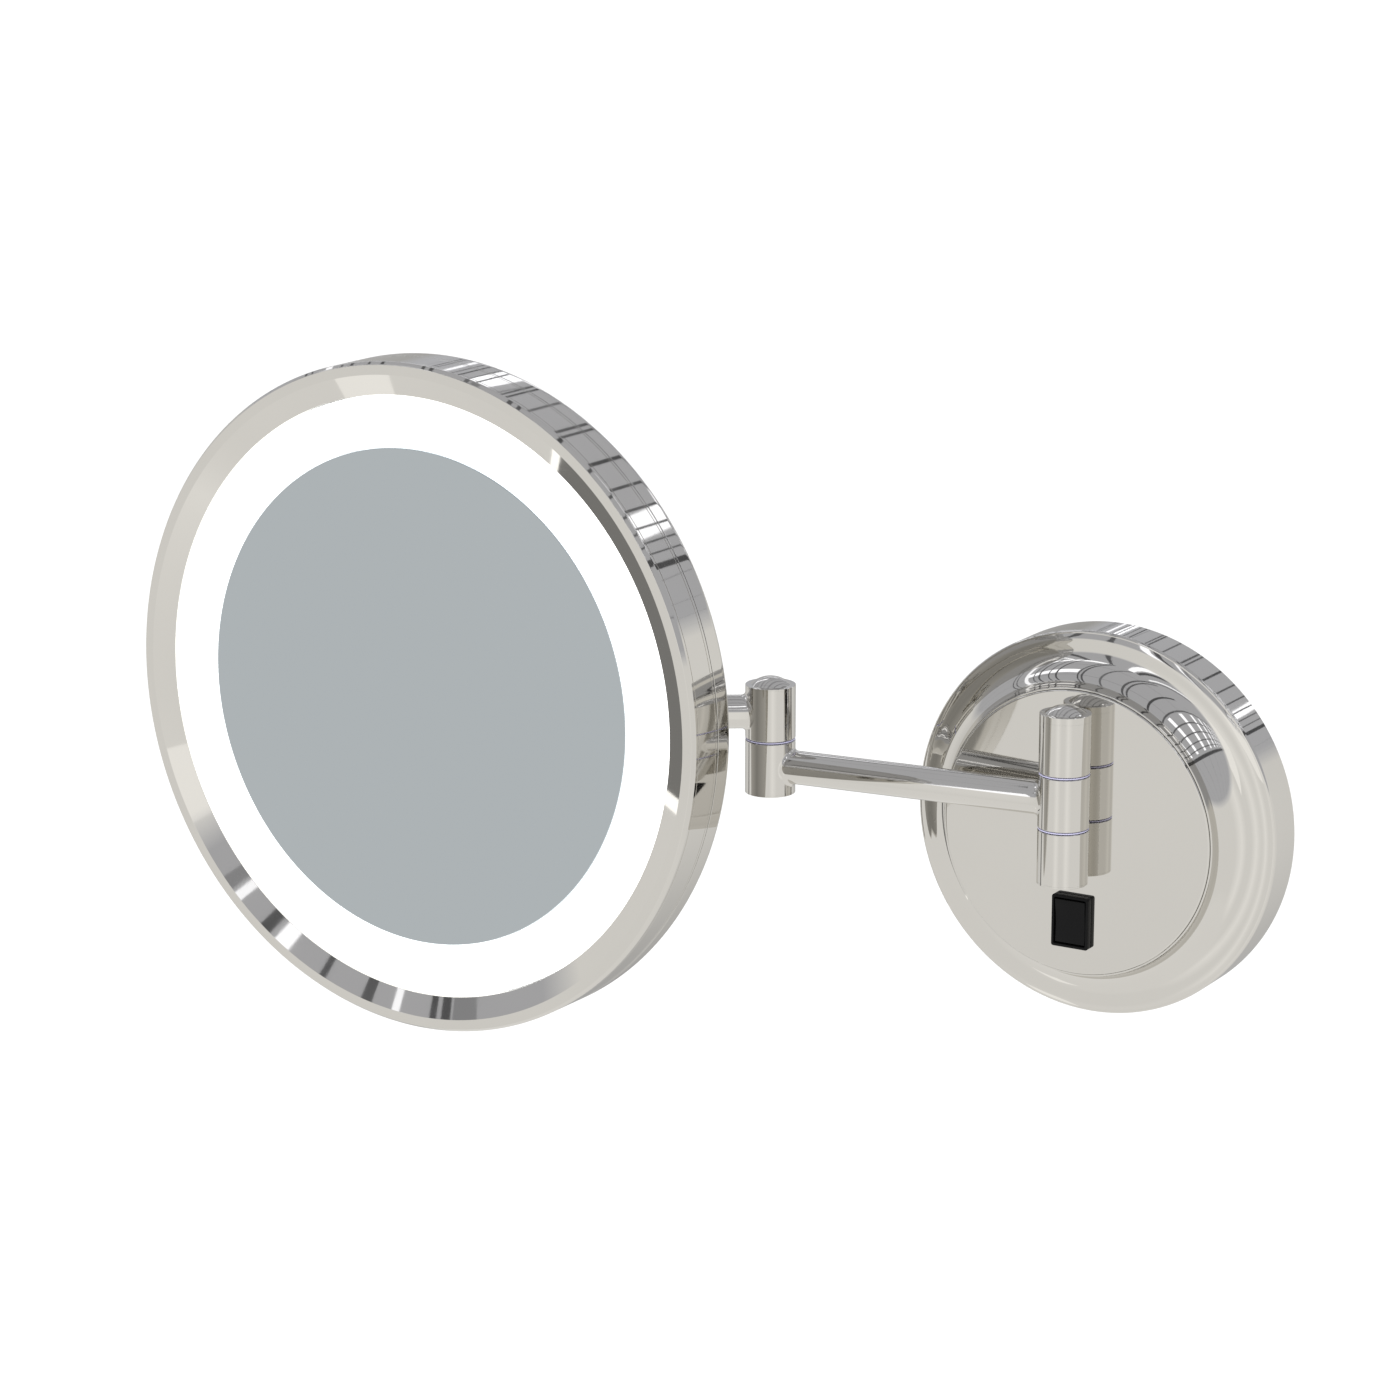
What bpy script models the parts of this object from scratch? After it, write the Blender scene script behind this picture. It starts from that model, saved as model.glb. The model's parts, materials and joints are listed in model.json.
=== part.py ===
"""Wall-mounted, illuminated shaving mirror on a jointed two-part arm.

Frame: metres, +Z up. The wall is the plane y = 0 and the room is on the -Y side. The origin is the
centre of the wall plate's back face. Each moving group hangs from an empty on its own joint axis.
"""

from math import cos, pi, radians, sin

import bmesh
import bpy
from mathutils import Matrix, Vector

# Clearance between neighbouring pieces, and between a bearing washer and the barrel it parts.
GAP = 0.0003
WASHER_GAP = 0.00025

# Wall rosette: a turned shell whose raised plateau has a shallow seat for a polished disc.
ROSETTE_R = 0.075
ROSETTE_WALL = 0.018
PLATEAU_R = 0.0562
PLATEAU_FRONT = 0.0331
SEAT_FRONT = 0.0315
SHEET = 0.0016
DISC_R = 0.0552
DISC_FRONT = 0.0338

# Wall plate inside the rosette.
PLATE_THICK = 0.002
PLATE_RIM = 0.010
SCREW_HOLE_R = 0.0027
SCREW_CIRCLE_R = 0.055
CABLE_HOLE_R = 0.006
CABLE_HOLE_X = 0.030
CABLE_HOLE_Z = -0.020

# Barrels of the post, the knuckle and the head swivel.
BARREL_R = 0.00975
BARREL_H = 0.0202
PITCH = 0.0212
BORE_R = 0.0043
PIN_R = 0.0040
PIN_BORE_R = 0.0026
CAP_BASE = 0.0005
TALL_CAP_BASE = 0.0024
TOP_DOME = 0.0030
BOTTOM_DOME = 0.0018
WASHER_THICK = PITCH - BARREL_H - 2 * WASHER_GAP

# Arm geometry, in plan: angles from the -X direction, turning towards the room.
POST_Y = -(DISC_FRONT + BARREL_R + GAP)
ARM_Z = 0.0153
NECK_Z = ARM_Z + PITCH
ARM_LENGTH = 0.1209
NECK_LENGTH = 0.1101
ARM_ANGLE = 5.6
NECK_ANGLE = 33.8
HEAD_ANGLE = -2.0
TUBE_R = 0.0065
TUBE_WALL = 0.0012
WIRE_R = 0.0020

# Mirror head, measured back from its front lip and out from its centre.
TILT_Z = NECK_Z + PITCH
HEAD_DROP = 0.0058
LIP_TO_AXIS = 0.0489
HEAD_R = 0.128
LIP_OUTER_R = 0.1269
LIP_INNER_R = 0.1232
LIP_ROUND = 0.0016
BEZEL_INNER_R = 0.1152
BEZEL_DEPTH = 0.0037
GLASS_R = 0.0952
GLASS_FRONT = 0.0049
GLASS_THICK = 0.004
DIFFUSER_FRONT = 0.0046
DIFFUSER_THICK = 0.003
WALL_BACK = 0.0160
HEAD_DEPTH = 0.0251
COVER_ROUND = 0.0024
CHASSIS_FRONT = 0.0142
CHASSIS_THICK = 0.0015
CHASSIS_R = 0.121
CHEEK_THICK = 0.003
CHEEK_R = 0.008
TILT_PIN_R = 0.003

# Rocker switch in the disc, below the post.
SWITCH_Z = -0.0344
SWITCH_W = 0.0153
SWITCH_H = 0.0204
SWITCH_FRAME = 0.0027
ROCKER_PROUD = 0.0033
ROCKER_AXIS = 0.0010

LARGE = 48
SMALL = 20

COLOURS = {
    "nickel": ((0.72, 0.69, 0.65), 0.08, 1.0),
    "steel": ((0.55, 0.55, 0.56), 0.35, 1.0),
    "aluminium": ((0.75, 0.75, 0.76), 0.30, 1.0),
    "nylon": ((0.40, 0.38, 0.55), 0.45, 0.0),
    "black_plastic": ((0.010, 0.010, 0.010), 0.40, 0.0),
    "white_plastic": ((0.80, 0.80, 0.78), 0.45, 0.0),
    "opal": ((0.95, 0.95, 0.93), 0.40, 0.0),
    "mirror": ((0.90, 0.92, 0.93), 0.01, 1.0),
    "rubber": ((0.03, 0.03, 0.03), 0.80, 0.0),
    "board": ((0.85, 0.86, 0.84), 0.50, 0.0),
}

FORWARD = Matrix.Rotation(radians(90), 4, "X")


def clear_scene():
    for obj in list(bpy.data.objects):
        bpy.data.objects.remove(obj, do_unlink=True)


def material(name):
    found = bpy.data.materials.get(name)
    if found:
        return found
    colour, roughness, metallic = COLOURS[name]
    made = bpy.data.materials.new(name)
    made.use_nodes = True
    shader = made.node_tree.nodes["Principled BSDF"]
    shader.inputs["Base Color"].default_value = (*colour, 1.0)
    shader.inputs["Roughness"].default_value = roughness
    shader.inputs["Metallic"].default_value = metallic
    return made


def empty(name, location, turn_z=0.0, parent=None):
    """An axis empty. turn_z is in degrees."""
    obj = bpy.data.objects.new(name, None)
    bpy.context.scene.collection.objects.link(obj)
    obj.location = location
    obj.rotation_euler = (0.0, 0.0, radians(turn_z))
    obj.parent = parent
    return obj


def finish(name, mesh_data, parent, colour, sharp=35.0):
    """Turns a bmesh into a named object under its parent."""
    bmesh.ops.remove_doubles(mesh_data, verts=mesh_data.verts, dist=1e-7)
    bmesh.ops.recalc_face_normals(mesh_data, faces=mesh_data.faces)
    mesh = bpy.data.meshes.new(name)
    mesh_data.to_mesh(mesh)
    mesh_data.free()
    mesh.materials.append(material(colour))
    mesh.shade_smooth()
    mesh.set_sharp_from_angle(angle=radians(sharp))
    obj = bpy.data.objects.new(name, mesh)
    bpy.context.scene.collection.objects.link(obj)
    obj.parent = parent
    return obj


def turned_mesh(outline, segments):
    """A solid of revolution about Z. The outline is a closed loop of (radius, height) points."""
    made = bmesh.new()
    verts = [made.verts.new((radius, 0.0, height)) for radius, height in outline]
    edges = [made.edges.new((verts[i - 1], verts[i])) for i in range(len(verts))]
    on_axis = [e for e in edges if all(v.co.x < 1e-7 for v in e.verts)]
    spun = [e for e in edges if e not in on_axis]
    bmesh.ops.spin(made, geom=verts + spun, cent=(0, 0, 0), axis=(0, 0, 1),
                   angle=2 * pi, steps=segments, use_merge=True)
    loose = [e for e in made.edges if not e.link_faces]
    bmesh.ops.delete(made, geom=loose, context="EDGES")
    bmesh.ops.remove_doubles(made, verts=made.verts, dist=1e-7)
    bmesh.ops.dissolve_degenerate(made, edges=made.edges, dist=1e-7)
    flat_hubs = [v for v in made.verts if v.co.xy.length < 1e-7 and is_flat(v)]
    bmesh.ops.dissolve_verts(made, verts=flat_hubs)
    return made


def is_flat(vert):
    """True where every neighbour lies level with the vertex, as at the middle of a flat end."""
    return all(abs(e.other_vert(vert).co.z - vert.co.z) < 1e-8 for e in vert.link_edges)


def turned(name, outline, parent, colour, segments=SMALL, place=None):
    made = turned_mesh(outline, segments)
    if place:
        made.transform(place)
    return finish(name, made, parent, colour)


def box(name, size, centre, parent, colour):
    made = bmesh.new()
    bmesh.ops.create_cube(made, size=1.0)
    bmesh.ops.scale(made, vec=size, verts=made.verts)
    bmesh.ops.translate(made, vec=centre, verts=made.verts)
    return finish(name, made, parent, colour)


def cutter(name, mesh_data, parent):
    obj = finish(name, mesh_data, parent, "steel")
    obj.hide_render = True
    obj.display_type = "WIRE"
    return obj


def rod_mesh(radius, start, end, segments=SMALL):
    """A plain cylinder from start to end."""
    start = Vector(start)
    end = Vector(end)
    made = bmesh.new()
    bmesh.ops.create_cone(made, cap_ends=True, segments=segments, radius1=radius, radius2=radius,
                          depth=(end - start).length)
    turn = (end - start).to_track_quat("Z", "X").to_matrix().to_4x4()
    made.transform(Matrix.Translation((start + end) / 2) @ turn)
    return made


def box_mesh(size, centre):
    made = bmesh.new()
    bmesh.ops.create_cube(made, size=1.0)
    bmesh.ops.scale(made, vec=size, verts=made.verts)
    bmesh.ops.translate(made, vec=centre, verts=made.verts)
    return made


def cut(obj, tool):
    modifier = obj.modifiers.new("cut_" + tool.name, "BOOLEAN")
    modifier.operation = "DIFFERENCE"
    modifier.object = tool
    return obj


def join(obj, tool):
    modifier = obj.modifiers.new("join_" + tool.name, "BOOLEAN")
    modifier.operation = "UNION"
    modifier.object = tool
    return obj


def ring(inner, outer, low, high):
    return [(inner, low), (outer, low), (outer, high), (inner, high)]


def plate(outer, low, high):
    return [(0.0, low), (outer, low), (outer, high), (0.0, high)]


def dome_outline(base_z, outer, base, dome, spigot_r, spigot, up=1, steps=3):
    """A domed end cap with a spigot. up is 1 for a top cap and -1 for a bottom one."""
    points = [(0.0, -spigot), (spigot_r, -spigot), (spigot_r, 0.0), (outer, 0.0), (outer, base)]
    sphere_r = (outer ** 2 + dome ** 2) / (2 * dome)
    for step in range(1, steps + 1):
        radius = outer * (1 - step / steps)
        points.append((radius, base + dome - sphere_r + (sphere_r ** 2 - radius ** 2) ** 0.5))
    return [(radius, base_z + up * height) for radius, height in points]


# Wall unit -------------------------------------------------------------------------------------


def wall_plate(root):
    rim_r = ROSETTE_R - SHEET - GAP
    outline = [(0.0, 0.0), (rim_r, 0.0), (rim_r, PLATE_RIM), (rim_r - SHEET, PLATE_RIM),
               (rim_r - SHEET, PLATE_THICK), (0.0, PLATE_THICK)]
    obj = turned("wall_plate", outline, root, "steel", LARGE, FORWARD)
    for number in range(3):
        angle = radians(90 + 120 * number)
        x = SCREW_CIRCLE_R * cos(angle)
        z = SCREW_CIRCLE_R * sin(angle)
        hole = rod_mesh(SCREW_HOLE_R, (x, 0.002, z), (x, -0.006, z), 12)
        cut(obj, cutter(f"cut_wall_screw_{number + 1}", hole, root))
    hole = rod_mesh(CABLE_HOLE_R, (CABLE_HOLE_X, 0.002, CABLE_HOLE_Z),
                    (CABLE_HOLE_X, -0.006, CABLE_HOLE_Z), 16)
    cut(obj, cutter("cut_cable_entry", hole, root))
    screw_seat = rod_mesh(0.0018, (0, -0.006, -rim_r - 0.002), (0, -0.006, -rim_r + 0.004), 12)
    return cut(obj, cutter("cut_grub_thread", screw_seat, root))


def cable_grommet(root):
    groove_r = CABLE_HOLE_R - GAP
    lip_r = CABLE_HOLE_R + 0.0022
    outline = [(0.0036, 0.0003), (groove_r, 0.0003), (groove_r, PLATE_THICK + GAP),
               (lip_r, PLATE_THICK + GAP), (lip_r, PLATE_THICK + 0.0022),
               (0.0036, PLATE_THICK + 0.0022)]
    place = Matrix.Translation((CABLE_HOLE_X, 0, CABLE_HOLE_Z)) @ FORWARD
    return turned("cable_grommet", outline, root, "rubber", 16, place)


def grub_screw(root):
    """Holds the rosette shell on the plate's rim, from below."""
    made = rod_mesh(0.0015, (0, -0.006, -ROSETTE_R + 0.0006), (0, -0.006, -ROSETTE_R + 0.0062), 12)
    return finish("rosette_grub_screw", made, root, "steel")


def shell_outline():
    """Outer skin of the rosette, back edge to plateau, then the same line inside it."""
    cove = []
    start = (ROSETTE_R - 0.0055, ROSETTE_WALL + 0.0007)
    end = (PLATEAU_R, PLATEAU_FRONT)
    seat_r = DISC_R + GAP
    for step in range(1, 5):
        turn = radians(90 * step / 4)
        cove.append((start[0] - (start[0] - end[0]) * sin(turn),
                     start[1] + (end[1] - start[1]) * (1 - cos(turn))))
    outer = [(ROSETTE_R, GAP), (ROSETTE_R, ROSETTE_WALL - 0.0006),
             (ROSETTE_R - 0.0006, ROSETTE_WALL), start] + cove
    inner_r = ROSETTE_R - SHEET
    inner = [(r - SHEET * 0.75, z - SHEET * 0.75) for r, z in cove[:-1]]
    inner.append((PLATEAU_R - SHEET, SEAT_FRONT - SHEET))
    hole_r = 0.046
    seat = [(seat_r, PLATEAU_FRONT), (seat_r, SEAT_FRONT), (hole_r, SEAT_FRONT)]
    return (outer + seat + [(hole_r, SEAT_FRONT - SHEET)] + inner[::-1]
            + [(inner_r, start[1] - SHEET), (inner_r, GAP)])


def rosette_shell(root):
    obj = turned("rosette_shell", shell_outline(), root, "nickel", LARGE, FORWARD)
    hole = rod_mesh(0.0018, (0, -0.006, -ROSETTE_R - 0.002), (0, -0.006, -ROSETTE_R + 0.0025), 12)
    return cut(obj, cutter("cut_grub_hole", hole, root))


def rosette_disc(root):
    back = SEAT_FRONT + GAP
    outline = [(0.0, back), (DISC_R, back), (DISC_R, DISC_FRONT - 0.0005),
               (DISC_R - 0.0005, DISC_FRONT), (0.0, DISC_FRONT)]
    obj = turned("rosette_disc", outline, root, "nickel", LARGE, FORWARD)
    opening = box_mesh((SWITCH_W - 0.0018, 0.010, SWITCH_H - 0.0018), (0, -DISC_FRONT, SWITCH_Z))
    cut(obj, cutter("cut_switch_opening", opening, root))
    for name, z in (("upper", ARM_Z + PITCH), ("lower", ARM_Z - PITCH)):
        hole = rod_mesh(0.0020, (0, -0.030, z), (0, -0.036, z), 12)
        cut(obj, cutter(f"cut_post_screw_{name}", hole, root))
    return obj


def post_section(name, z, root):
    """A fixed barrel of the post, with a flat foot that stands on the disc."""
    low = z - BARREL_H / 2
    place = Matrix.Translation((0, POST_Y, 0))
    obj = turned(name, ring(BORE_R, BARREL_R, low, low + BARREL_H), root, "nickel", SMALL, place)
    foot_front = POST_Y + 0.0070
    foot_back = -(DISC_FRONT + GAP)
    foot = box_mesh((0.008, foot_back - foot_front, BARREL_H - 0.002),
                    (0, (foot_back + foot_front) / 2, z))
    join(obj, cutter("foot_" + name, foot, root))
    thread = rod_mesh(0.0018, (0, -DISC_FRONT + 0.002, z), (0, -DISC_FRONT - 0.0044, z), 12)
    return cut(obj, cutter("thread_" + name, thread, root))


def post_screw(name, z, root):
    """Goes through the disc from behind into the post's foot."""
    outline = [(0.0, 0.0), (0.0034, 0.0), (0.0034, 0.0022), (0.0015, 0.0022), (0.0015, 0.0062),
               (0.0, 0.0062)]
    place = Matrix.Translation((0, -(SEAT_FRONT - 0.0022), z)) @ FORWARD
    return turned(name, outline, root, "steel", 12, place)


def end_cap(name, z, up, axis_y, parent, base=CAP_BASE):
    """A domed cap on the end of a barrel at height z. up is 1 for a top cap, -1 for a bottom one."""
    dome = TOP_DOME if up > 0 else BOTTOM_DOME
    outline = dome_outline(z + up * WASHER_GAP, BARREL_R, base, dome, PIN_R, 0.003, up)
    place = Matrix.Translation((0, axis_y, 0))
    return turned(name, outline, parent, "nickel", SMALL, place)


def bearing_washer(name, z, axis_y, parent):
    """The washer between two barrels, centred at height z."""
    outline = ring(BORE_R, BARREL_R - 0.0002, z - WASHER_THICK / 2, z + WASHER_THICK / 2)
    return turned(name, outline, parent, "nylon", SMALL, Matrix.Translation((0, axis_y, 0)))


def pivot_pin(name, low, high, axis_y, parent):
    """A hollow pin, so that the lamp's wires can pass through the joint."""
    outline = ring(PIN_BORE_R, PIN_R, low, high)
    return turned(name, outline, parent, "steel", SMALL, Matrix.Translation((0, axis_y, 0)))


def post(root):
    upper = ARM_Z + PITCH
    lower = ARM_Z - PITCH
    post_section("post_upper", upper, root)
    post_section("post_lower", lower, root)
    post_screw("post_screw_upper", upper, root)
    post_screw("post_screw_lower", lower, root)
    top = upper + BARREL_H / 2
    bottom = lower - BARREL_H / 2
    end_cap("post_cap_upper", top, 1, POST_Y, root, TALL_CAP_BASE)
    end_cap("post_cap_lower", bottom, -1, POST_Y, root)
    pivot_pin("post_pin", bottom + 0.0035, top - 0.0035, POST_Y, root)
    bearing_washer("post_washer_upper", ARM_Z + PITCH / 2, POST_Y, root)
    bearing_washer("post_washer_lower", ARM_Z - PITCH / 2, POST_Y, root)


def switch(root):
    """The rocker's housing snaps into the disc, and its frame lies on the disc's face."""
    face = -(DISC_FRONT + GAP)
    body_w = SWITCH_W - 0.0024
    body_h = SWITCH_H - 0.0024
    body = box("switch_housing", (body_w, 0.020, body_h), (0, face + 0.010, SWITCH_Z), root,
               "black_plastic")
    frame = box_mesh((SWITCH_W, SWITCH_FRAME, SWITCH_H),
                     (0, face - SWITCH_FRAME / 2 + 0.00005, SWITCH_Z))
    join(body, cutter("switch_frame", frame, root))
    well = box_mesh((SWITCH_W - 0.0034, 0.012, SWITCH_H - 0.0034), (0, face + 0.002, SWITCH_Z))
    return cut(body, cutter("cut_switch_well", well, root))


def rocker(root):
    """The rocker turns on a level axis. Its face is a shallow V, and at rest its top is out."""
    axis = empty("rocker_axis", (0, -(DISC_FRONT + ROCKER_AXIS), SWITCH_Z), 0, root)
    half_w = (SWITCH_W - 0.0040) / 2
    half_h = (SWITCH_H - 0.0044) / 2
    front = ROCKER_PROUD - ROCKER_AXIS
    side = [(-half_h, 0.0030), (-half_h, -front + 0.0008), (0.0, -front + 0.0014),
            (half_h, -front), (half_h, 0.0030), (0.0, 0.0052)]
    made = bmesh.new()
    verts = [made.verts.new((-half_w, y, z)) for z, y in side]
    face = made.faces.new(verts)
    grown = bmesh.ops.extrude_face_region(made, geom=[face])
    moved = [v for v in grown["geom"] if isinstance(v, bmesh.types.BMVert)]
    bmesh.ops.translate(made, vec=(2 * half_w, 0, 0), verts=moved)
    return finish("switch_rocker", made, axis, "black_plastic")


def electrics(root):
    """Driver and terminal block on the wall plate."""
    base = -(PLATE_THICK + GAP)
    driver = box("led_driver", (0.064, 0.020, 0.028), (0, base - 0.010, 0.026), root,
                 "white_plastic")
    bevel = driver.modifiers.new("edges", "BEVEL")
    bevel.width = 0.0015
    bevel.segments = 1
    box("terminal_block", (0.024, 0.012, 0.012), (-0.027, base - 0.006, -0.014), root,
        "white_plastic")


# Arm and neck ----------------------------------------------------------------------------------


def barrel(name, z, parent, tube_sides):
    """A barrel about its parent's axis. Each tube side is +1 or -1 along the parent's X."""
    low = z - BARREL_H / 2
    obj = turned(name, ring(BORE_R, BARREL_R, low, low + BARREL_H), parent, "nickel")
    for side in tube_sides:
        hole = rod_mesh(0.0030, (0, 0, z), (side * (BARREL_R + 0.002), 0, z), 12)
        cut(obj, cutter(f"wire_hole_{name}", hole, parent))
    return obj


def tube(name, length, z, parent):
    """A tube along +X between two barrels, with its ends saddled round them."""
    made = turned_mesh(ring(TUBE_R - TUBE_WALL, TUBE_R, 0.004, length - 0.004), SMALL)
    made.transform(Matrix.Translation((0, 0, z)) @ Matrix.Rotation(radians(90), 4, "Y"))
    obj = finish(name, made, parent, "nickel")
    for end, x in (("inner", 0.0), ("outer", length)):
        saddle = rod_mesh(BARREL_R + GAP, (x, 0, z - 0.02), (x, 0, z + 0.02), 32)
        cut(obj, cutter(f"saddle_{name}_{end}", saddle, parent))
    return obj


def wire(name, length, z, parent):
    start = BARREL_R + 0.001
    made = rod_mesh(WIRE_R, (start, 0, z), (length - start, 0, z), 10)
    return finish(name, made, parent, "rubber")


def arm(parent):
    """First arm: its barrel turns on the post, and its far barrel is the knuckle's lower half."""
    barrel("arm_barrel", ARM_Z, parent, (1,))
    tube("arm_tube", ARM_LENGTH, ARM_Z, parent)
    wire("arm_wire", ARM_LENGTH, ARM_Z, parent)
    knuckle = empty("arm_end", (ARM_LENGTH, 0, 0), 180, parent)
    barrel("knuckle_lower", ARM_Z, knuckle, (1,))
    bottom = ARM_Z - BARREL_H / 2
    end_cap("knuckle_cap_lower", bottom, -1, 0, knuckle)
    pivot_pin("knuckle_pin", bottom + 0.0035, NECK_Z + BARREL_H / 2 - 0.0035, 0, knuckle)
    bearing_washer("knuckle_washer", ARM_Z + PITCH / 2, 0, knuckle)


def neck(parent):
    """Second arm: it turns on the knuckle, one barrel higher, and reaches behind the head."""
    barrel("knuckle_upper", NECK_Z, parent, (1,))
    end_cap("knuckle_cap_upper", NECK_Z + BARREL_H / 2, 1, 0, parent)
    tube("neck_tube", NECK_LENGTH, NECK_Z, parent)
    wire("neck_wire", NECK_LENGTH, NECK_Z, parent)
    end = empty("neck_end", (NECK_LENGTH, 0, 0), 180, parent)
    barrel("swivel_lower", NECK_Z, end, (1,))
    low = NECK_Z - BARREL_H / 2
    end_cap("swivel_cap_lower", low, -1, 0, end)
    pivot_pin("swivel_pin", low + 0.0035, TILT_Z - TILT_PIN_R - 0.0015, 0, end)
    bearing_washer("swivel_washer", NECK_Z + PITCH / 2, 0, end)


def swivel(parent):
    """The upper half of the swivel turns about Z. A cross hole holds the tilt pin."""
    obj = barrel("swivel_upper", TILT_Z, parent, ())
    hole = rod_mesh(TILT_PIN_R + GAP, (-0.02, 0, TILT_Z), (0.02, 0, TILT_Z), 16)
    cut(obj, cutter("tilt_pin_hole", hole, parent))
    end_cap("swivel_cap_upper", TILT_Z + BARREL_H / 2, 1, 0, parent)


# Mirror head -----------------------------------------------------------------------------------

# The head is turned about its own optical axis: height along Z becomes distance towards -Y.
HEAD_PLACE = Matrix.Translation((0, -LIP_TO_AXIS, -HEAD_DROP)) @ FORWARD


def depth(back):
    """Height in a turned outline for a distance behind the front lip."""
    return -back


def head_turned(name, outline, head, colour, segments=LARGE):
    line = [(radius, depth(back)) for radius, back in outline]
    return turned(name, line, head, colour, segments, HEAD_PLACE)


def head_rim(head):
    """Side wall, front lip and polished bezel, spun from one sheet."""
    outline = [(HEAD_R, WALL_BACK), (HEAD_R, LIP_ROUND), (LIP_OUTER_R, 0.0), (LIP_INNER_R, 0.0),
               (BEZEL_INNER_R, BEZEL_DEPTH), (BEZEL_INNER_R, BEZEL_DEPTH + 0.0030),
               (BEZEL_INNER_R + 0.0012, BEZEL_DEPTH + 0.0030),
               (BEZEL_INNER_R + 0.0012, BEZEL_DEPTH + 0.0016),
               (HEAD_R - SHEET, 0.0020), (HEAD_R - SHEET, WALL_BACK)]
    return head_turned("head_rim", outline, head, "nickel")


def back_cover(head):
    round_r = COVER_ROUND
    outer = []
    for step in range(5):
        turn = radians(90 * step / 4)
        outer.append((HEAD_R - round_r + round_r * cos(turn),
                      HEAD_DEPTH - round_r + round_r * sin(turn)))
    seam = WALL_BACK + GAP
    outline = [(HEAD_R, seam)] + outer
    outline += [(0.0, HEAD_DEPTH), (0.0, HEAD_DEPTH - SHEET), (HEAD_R - round_r, HEAD_DEPTH - SHEET),
                (HEAD_R - SHEET, HEAD_DEPTH - round_r), (HEAD_R - SHEET, seam)]
    obj = head_turned("back_cover", outline, head, "nickel")
    for number, (x, z) in enumerate(cover_screw_places(), 1):
        cut(obj, cutter(f"cut_cover_screw_{number}", cover_hole(x, z), head))
    for number, (x, z) in enumerate(bracket_screw_places(), 1):
        cut(obj, cutter(f"cut_bracket_screw_{number}", cover_hole(x, z), head))
    return obj


def cover_hole(x, z):
    return head_rod(0.0018, x, z, HEAD_DEPTH - 0.003, HEAD_DEPTH + 0.003)


def cover_screw_places():
    return [(0.104 * cos(radians(45 + 90 * n)), 0.104 * sin(radians(45 + 90 * n))) for n in range(4)]


def bracket_screw_places():
    return [(x, z) for x in (-0.0175, 0.0175) for z in (-0.010, 0.016)]


def head_rod(radius, x, z, front, back, segments=12):
    """A rod parallel to the head's axis, between two distances behind the lip."""
    made = rod_mesh(radius, (x, z, depth(front)), (x, z, depth(back)), segments)
    made.transform(Matrix.Translation((0, -LIP_TO_AXIS, -HEAD_DROP)) @ FLIP)
    return made


# Takes (x, z, height) to the same place that FORWARD takes a turned outline.
FLIP = Matrix(((1, 0, 0, 0), (0, 0, -1, 0), (0, 1, 0, 0), (0, 0, 0, 1)))


def head_screw(name, x, z, head_back, shank_end, head):
    """A pan-head screw put in from behind. head_back is the outer face that its head rests on."""
    outline = [(0.0, head_back + 0.0018), (0.0030, head_back + 0.0015), (0.0030, head_back + GAP),
               (0.0015, head_back + GAP), (0.0015, shank_end), (0.0, shank_end)]
    line = [(radius, depth(back)) for radius, back in outline]
    place = Matrix.Translation((x, -LIP_TO_AXIS, -HEAD_DROP + z)) @ FORWARD
    return turned(name, line, head, "steel", 12, place)


def glass_and_light(head):
    """Mirror, opal ring, lamp board and what carries them, from front to back."""
    glass_back = GLASS_FRONT + GLASS_THICK
    bevel = 0.0008
    head_turned("mirror_glass", [(0.0, GLASS_FRONT), (GLASS_R - 0.003, GLASS_FRONT),
                                 (GLASS_R, GLASS_FRONT + bevel), (GLASS_R, glass_back),
                                 (0.0, glass_back)], head, "mirror")
    diffuser_back = DIFFUSER_FRONT + DIFFUSER_THICK
    head_turned("light_diffuser", ring(GLASS_R + GAP, BEZEL_INNER_R - GAP, DIFFUSER_FRONT,
                                       diffuser_back), head, "opal")
    pan_front = glass_back + GAP
    pan_back = CHASSIS_FRONT - GAP
    head_turned("mirror_carrier", [(0.0, pan_front), (GLASS_R - 0.004, pan_front),
                                   (GLASS_R - 0.004, pan_back), (GLASS_R - 0.0055, pan_back),
                                   (GLASS_R - 0.0055, pan_front + 0.0015),
                                   (0.0, pan_front + 0.0015)], head, "aluminium")
    head_turned("diffuser_seal", ring(BEZEL_INNER_R + 0.0017, BEZEL_INNER_R + 0.0042,
                                      BEZEL_DEPTH + 0.0026, BEZEL_DEPTH + 0.0042), head, "rubber")
    head_turned("head_chassis", ring(0.010, CHASSIS_R, CHASSIS_FRONT,
                                     CHASSIS_FRONT + CHASSIS_THICK), head, "aluminium")
    lamp_board(head)


def lamp_board(head):
    """A ring board with one lamp to every second facet."""
    front = CHASSIS_FRONT - GAP - 0.0012
    inner_r = GLASS_R + 0.0025
    outer_r = BEZEL_INNER_R - 0.0020
    made = turned_mesh([(r, depth(b)) for r, b in ring(inner_r, outer_r, front, front + 0.0012)],
                       LARGE)
    made.faces.ensure_lookup_table()
    tops = [f for f in made.faces if f.calc_center_median().z > depth(front) - 1e-6]
    tops.sort(key=lambda f: Vector((1, 0)).angle_signed(f.calc_center_median().xy))
    lamps = tops[::2]
    bmesh.ops.inset_individual(made, faces=lamps, thickness=0.0042)
    grown = bmesh.ops.extrude_discrete_faces(made, faces=lamps)
    raised = {v for f in grown["faces"] for v in f.verts}
    bmesh.ops.translate(made, vec=(0, 0, 0.0008), verts=list(raised))
    made.transform(HEAD_PLACE)
    return finish("lamp_board", made, head, "board")


def base_hole(x, z):
    return head_rod(0.0018, x, z, HEAD_DEPTH - 0.002, HEAD_DEPTH + 0.009)


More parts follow.
